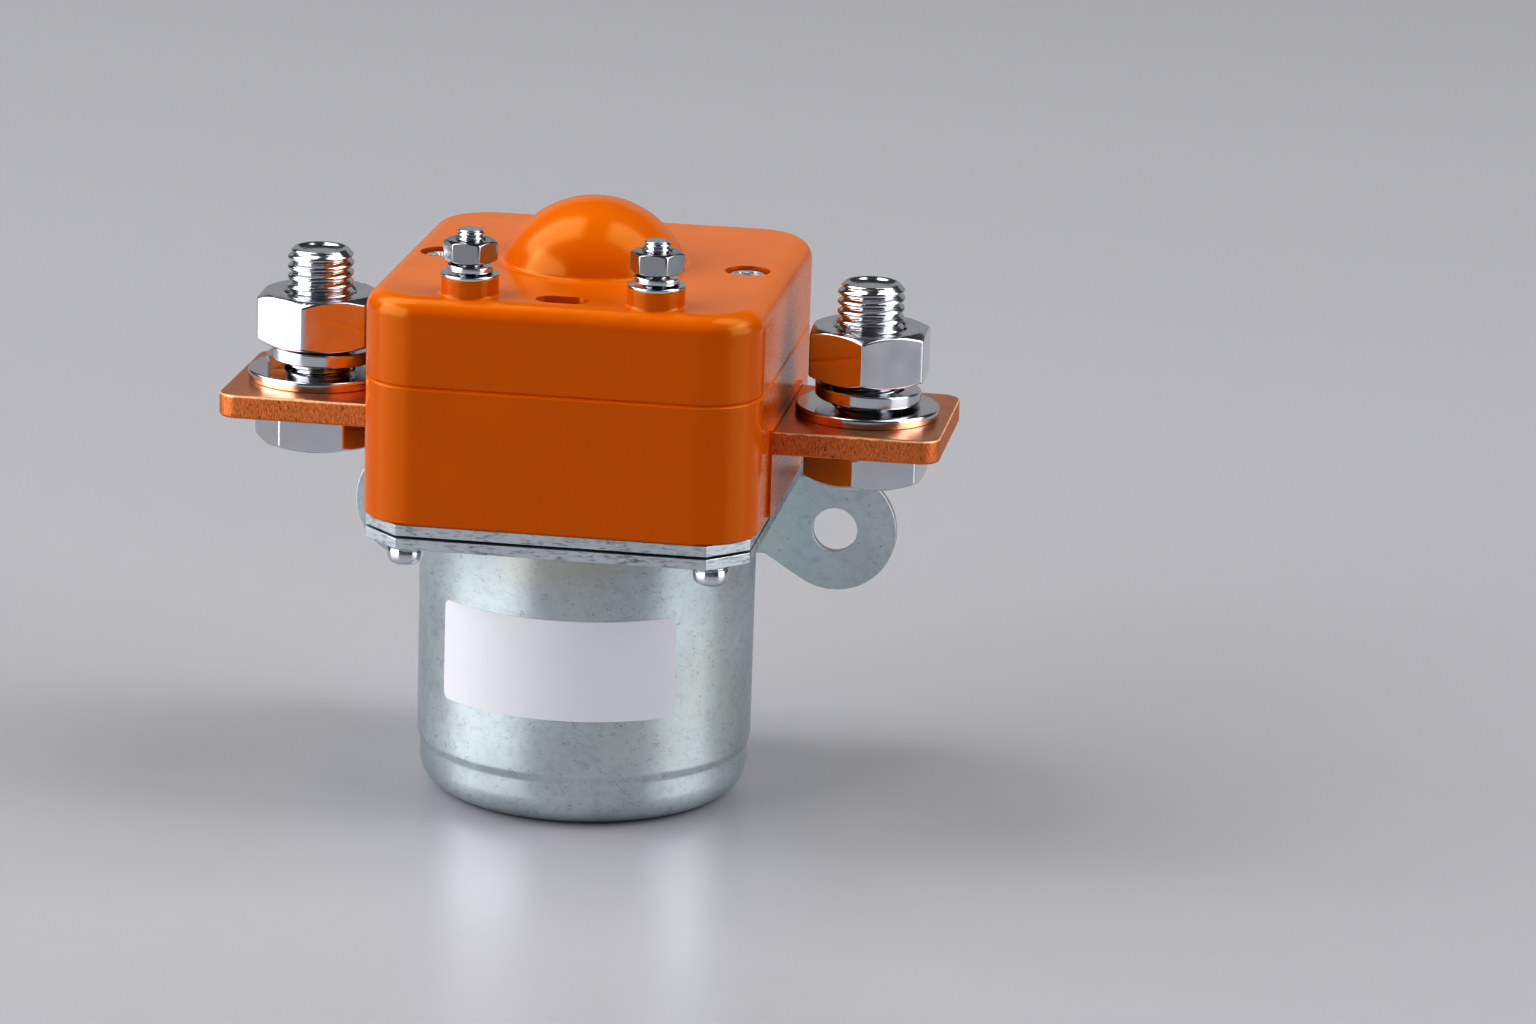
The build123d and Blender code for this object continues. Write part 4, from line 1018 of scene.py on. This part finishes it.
class CONTACTOR_OT_screws(ContactorStep):
    """Builds the cross-recess screws of the cover and of the plates"""
    bl_idname = "contactor.screws"
    bl_label = "Screws"

    def build(self, sizes):
        low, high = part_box("cover_screws")
        span = high[0] - low[0] - 2 * CAD_HEAD_RADIUS
        cover_screw = cross_screw("cover_screw", **COVER_SCREW)
        seat_fasteners("cover_screws", cover_screw, finish("screw_plate"), span,
                       low=high[2] - COVER_HEAD_BELOW_TOP, **COVER_SCREW_TURNS)
        low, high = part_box("plate_screws")
        plate_screw = cross_screw("plate_screw", **PLATE_SCREW)
        plate_screw.transform(Matrix.Rotation(math.pi, 4, "X"))
        bright = finish("bright_plate")
        width, depth = (high[axis] - low[axis] - 2 * CAD_HEAD_RADIUS for axis in (0, 1))
        seat_fasteners("plate_screws", plate_screw, bright, width, depth=depth, rows=2,
                       low=low[2] + PLATE_SCREW["height"], **PLATE_SCREW_TURNS)
        washer = washer_mesh("washer", thickness=tall("plate_screw_washers"), **PLATE_WASHER)
        seat_fasteners("plate_screw_washers", washer, bright, width, depth=depth, rows=2)


class CONTACTOR_OT_label(ContactorStep):
    """Builds the bare label on the can"""
    bl_idname = "contactor.label"
    bl_label = "Label"

    def build(self, sizes):
        label = merged_copy("label")
        even_light(label)
        seat(label, "label", finish("white_label"))


class CONTACTOR_OT_springs(ContactorStep):
    """Builds the two springs, each seated on its body"""
    bl_idname = "contactor.springs"
    bl_label = "Springs"

    def build(self, sizes):
        # node, body, joint, whether its upper end keeps its place
        springs = (("return_spring", STILL, "armature_slide", False),
                   ("contact_spring", "armature", "bridge_slide", True))
        for node, body, joint, held_above in springs:
            spring = merged_copy(node)
            smooth(spring.data)
            seat(spring, node, finish("spring_wire"), body)
            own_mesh(spring)


class CONTACTOR_OT_inner_parts(ContactorStep):
    """Gives the pieces inside their finishes"""
    bl_idname = "contactor.inner_parts"
    bl_label = "Inner parts"

    def build(self, sizes):
        for name, nodes in INNER_FINISHES.items():
            for node in nodes:
                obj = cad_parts[node]
                if not obj.material_slots:
                    obj.data.materials.append(None)
                for place in obj.material_slots:
                    place.material = finish(name)


class CONTACTOR_OT_stage(ContactorStep):
    """Sets up the floor, the lights and the camera"""
    bl_idname = "contactor.stage"
    bl_label = "Studio"

    def build(self, sizes):
        studio = bpy.context.scene.contactor_studio
        self.lay_floor(studio)
        self.hang_lights()
        self.place_camera(studio)
        view = bpy.context.scene.view_settings
        view.view_transform = "Standard"
        view.look = "High Contrast"

    def lay_floor(self, studio):
        half = studio.floor_size / 2
        corners = [(-half, -half, 0.0), (half, -half, 0.0), (half, half, 0.0), (-half, half, 0.0)]
        mesh = bpy.data.meshes.new("studio_floor")
        mesh.from_pydata(corners, [], [(0, 1, 2, 3)])
        floor = new_piece("studio_floor", mesh)
        floor.data.materials.append(finish("studio_floor"))

    def hang_lights(self):
        world = bpy.data.worlds.new("studio_air")
        world.use_nodes = True
        air = world.node_tree.nodes["Background"]
        air.inputs["Color"].default_value = (*srgb(196, 200, 208), 1.0)
        air.inputs["Strength"].default_value = 0.1
        bpy.context.scene.world = world
        # name, place, target, width, height, power
        lamps = [
            ("softbox_left", (-1.14, -0.62, 0.61), (0.0, 0.0, 0.61), 1.5, 1.2, 16.5),
            ("softbox_right", (1.29, -0.18, 0.61), (0.0, 0.0, 0.61), 1.0, 1.2, 7.9),
            ("above_left", (-1.35, 0.3, 1.8), (0.0, 0.2, 0.0), 1.3, 2.2, 20.0),
            ("above_right", (1.35, 0.3, 1.8), (0.0, 0.2, 0.0), 1.3, 2.2, 18.0),
            ("bright_back", (-0.3, 2.6, 0.78), (-0.3, 0.0, 0.78), 4.0, 1.46, 4.4),
            ("low_front", (0.2, -2.6, 0.42), (0.2, 0.0, 0.42), 3.4, 0.8, 0.7),
        ]
        for name, place, target, width, height, power in lamps:
            light = bpy.data.lights.new(name, "AREA")
            light.shape = "RECTANGLE"
            light.size = width
            light.size_y = height
            light.energy = power
            lamp = bpy.data.objects.new(name, light)
            lamp.location = place
            lamp.rotation_euler = (Vector(target) - Vector(place)).to_track_quat("-Z", "Y").to_euler()
            bpy.context.scene.collection.objects.link(lamp)

    def place_camera(self, studio):
        yaw, pitch, roll = studio.camera_yaw, studio.camera_pitch, studio.camera_roll
        ahead = Vector((-math.sin(yaw) * math.cos(pitch), math.cos(yaw) * math.cos(pitch), math.sin(pitch)))
        level = ahead.cross(UP).normalized()
        down = ahead.cross(level)
        right = math.cos(roll) * level + math.sin(roll) * down
        below = math.cos(roll) * down - math.sin(roll) * level
        lens = bpy.data.cameras.new("photo_camera")
        lens.sensor_width = 36.0
        lens.lens = studio.lens
        lens.clip_end = 50.0
        camera = bpy.data.objects.new("photo_camera", lens)
        turn = Matrix((right, -below, -ahead)).transposed().to_4x4()
        camera.matrix_world = Matrix.Translation(studio.camera_place) @ turn
        bpy.context.scene.collection.objects.link(camera)
        bpy.context.scene.camera = camera


STEPS = (
    CONTACTOR_OT_can, CONTACTOR_OT_plates, CONTACTOR_OT_housing, CONTACTOR_OT_bars,
    CONTACTOR_OT_main_terminals, CONTACTOR_OT_coil_terminals, CONTACTOR_OT_screws, CONTACTOR_OT_label,
    CONTACTOR_OT_springs, CONTACTOR_OT_inner_parts, CONTACTOR_OT_stage,
)


class CONTACTOR_PT_panel(bpy.types.Panel):
    """Lists the building steps"""
    bl_idname = "CONTACTOR_PT_panel"
    bl_label = "Contactor"
    bl_space_type = "VIEW_3D"
    bl_region_type = "UI"
    bl_category = "Contactor"

    def draw(self, context):
        for step in STEPS:
            self.layout.operator(step.bl_idname)


GROUPS = {
    "contactor_hardware": ContactorHardwareSizes,
    "contactor_colours": ContactorFinishColours,
    "contactor_studio": ContactorStudioSizes,
}


def register():
    for group in GROUPS.values():
        bpy.utils.register_class(group)
    for name, group in GROUPS.items():
        setattr(bpy.types.Scene, name, PointerProperty(type=group))
    for step in STEPS:
        bpy.utils.register_class(step)
    bpy.utils.register_class(CONTACTOR_PT_panel)


def unregister():
    bpy.utils.unregister_class(CONTACTOR_PT_panel)
    for step in reversed(STEPS):
        bpy.utils.unregister_class(step)
    for name, group in GROUPS.items():
        delattr(bpy.types.Scene, name)
        bpy.utils.unregister_class(group)


def main():
    register()
    for step in STEPS:
        family, action = step.bl_idname.split(".")
        getattr(getattr(bpy.ops, family), action)()


if __name__ == "__main__":
    main()
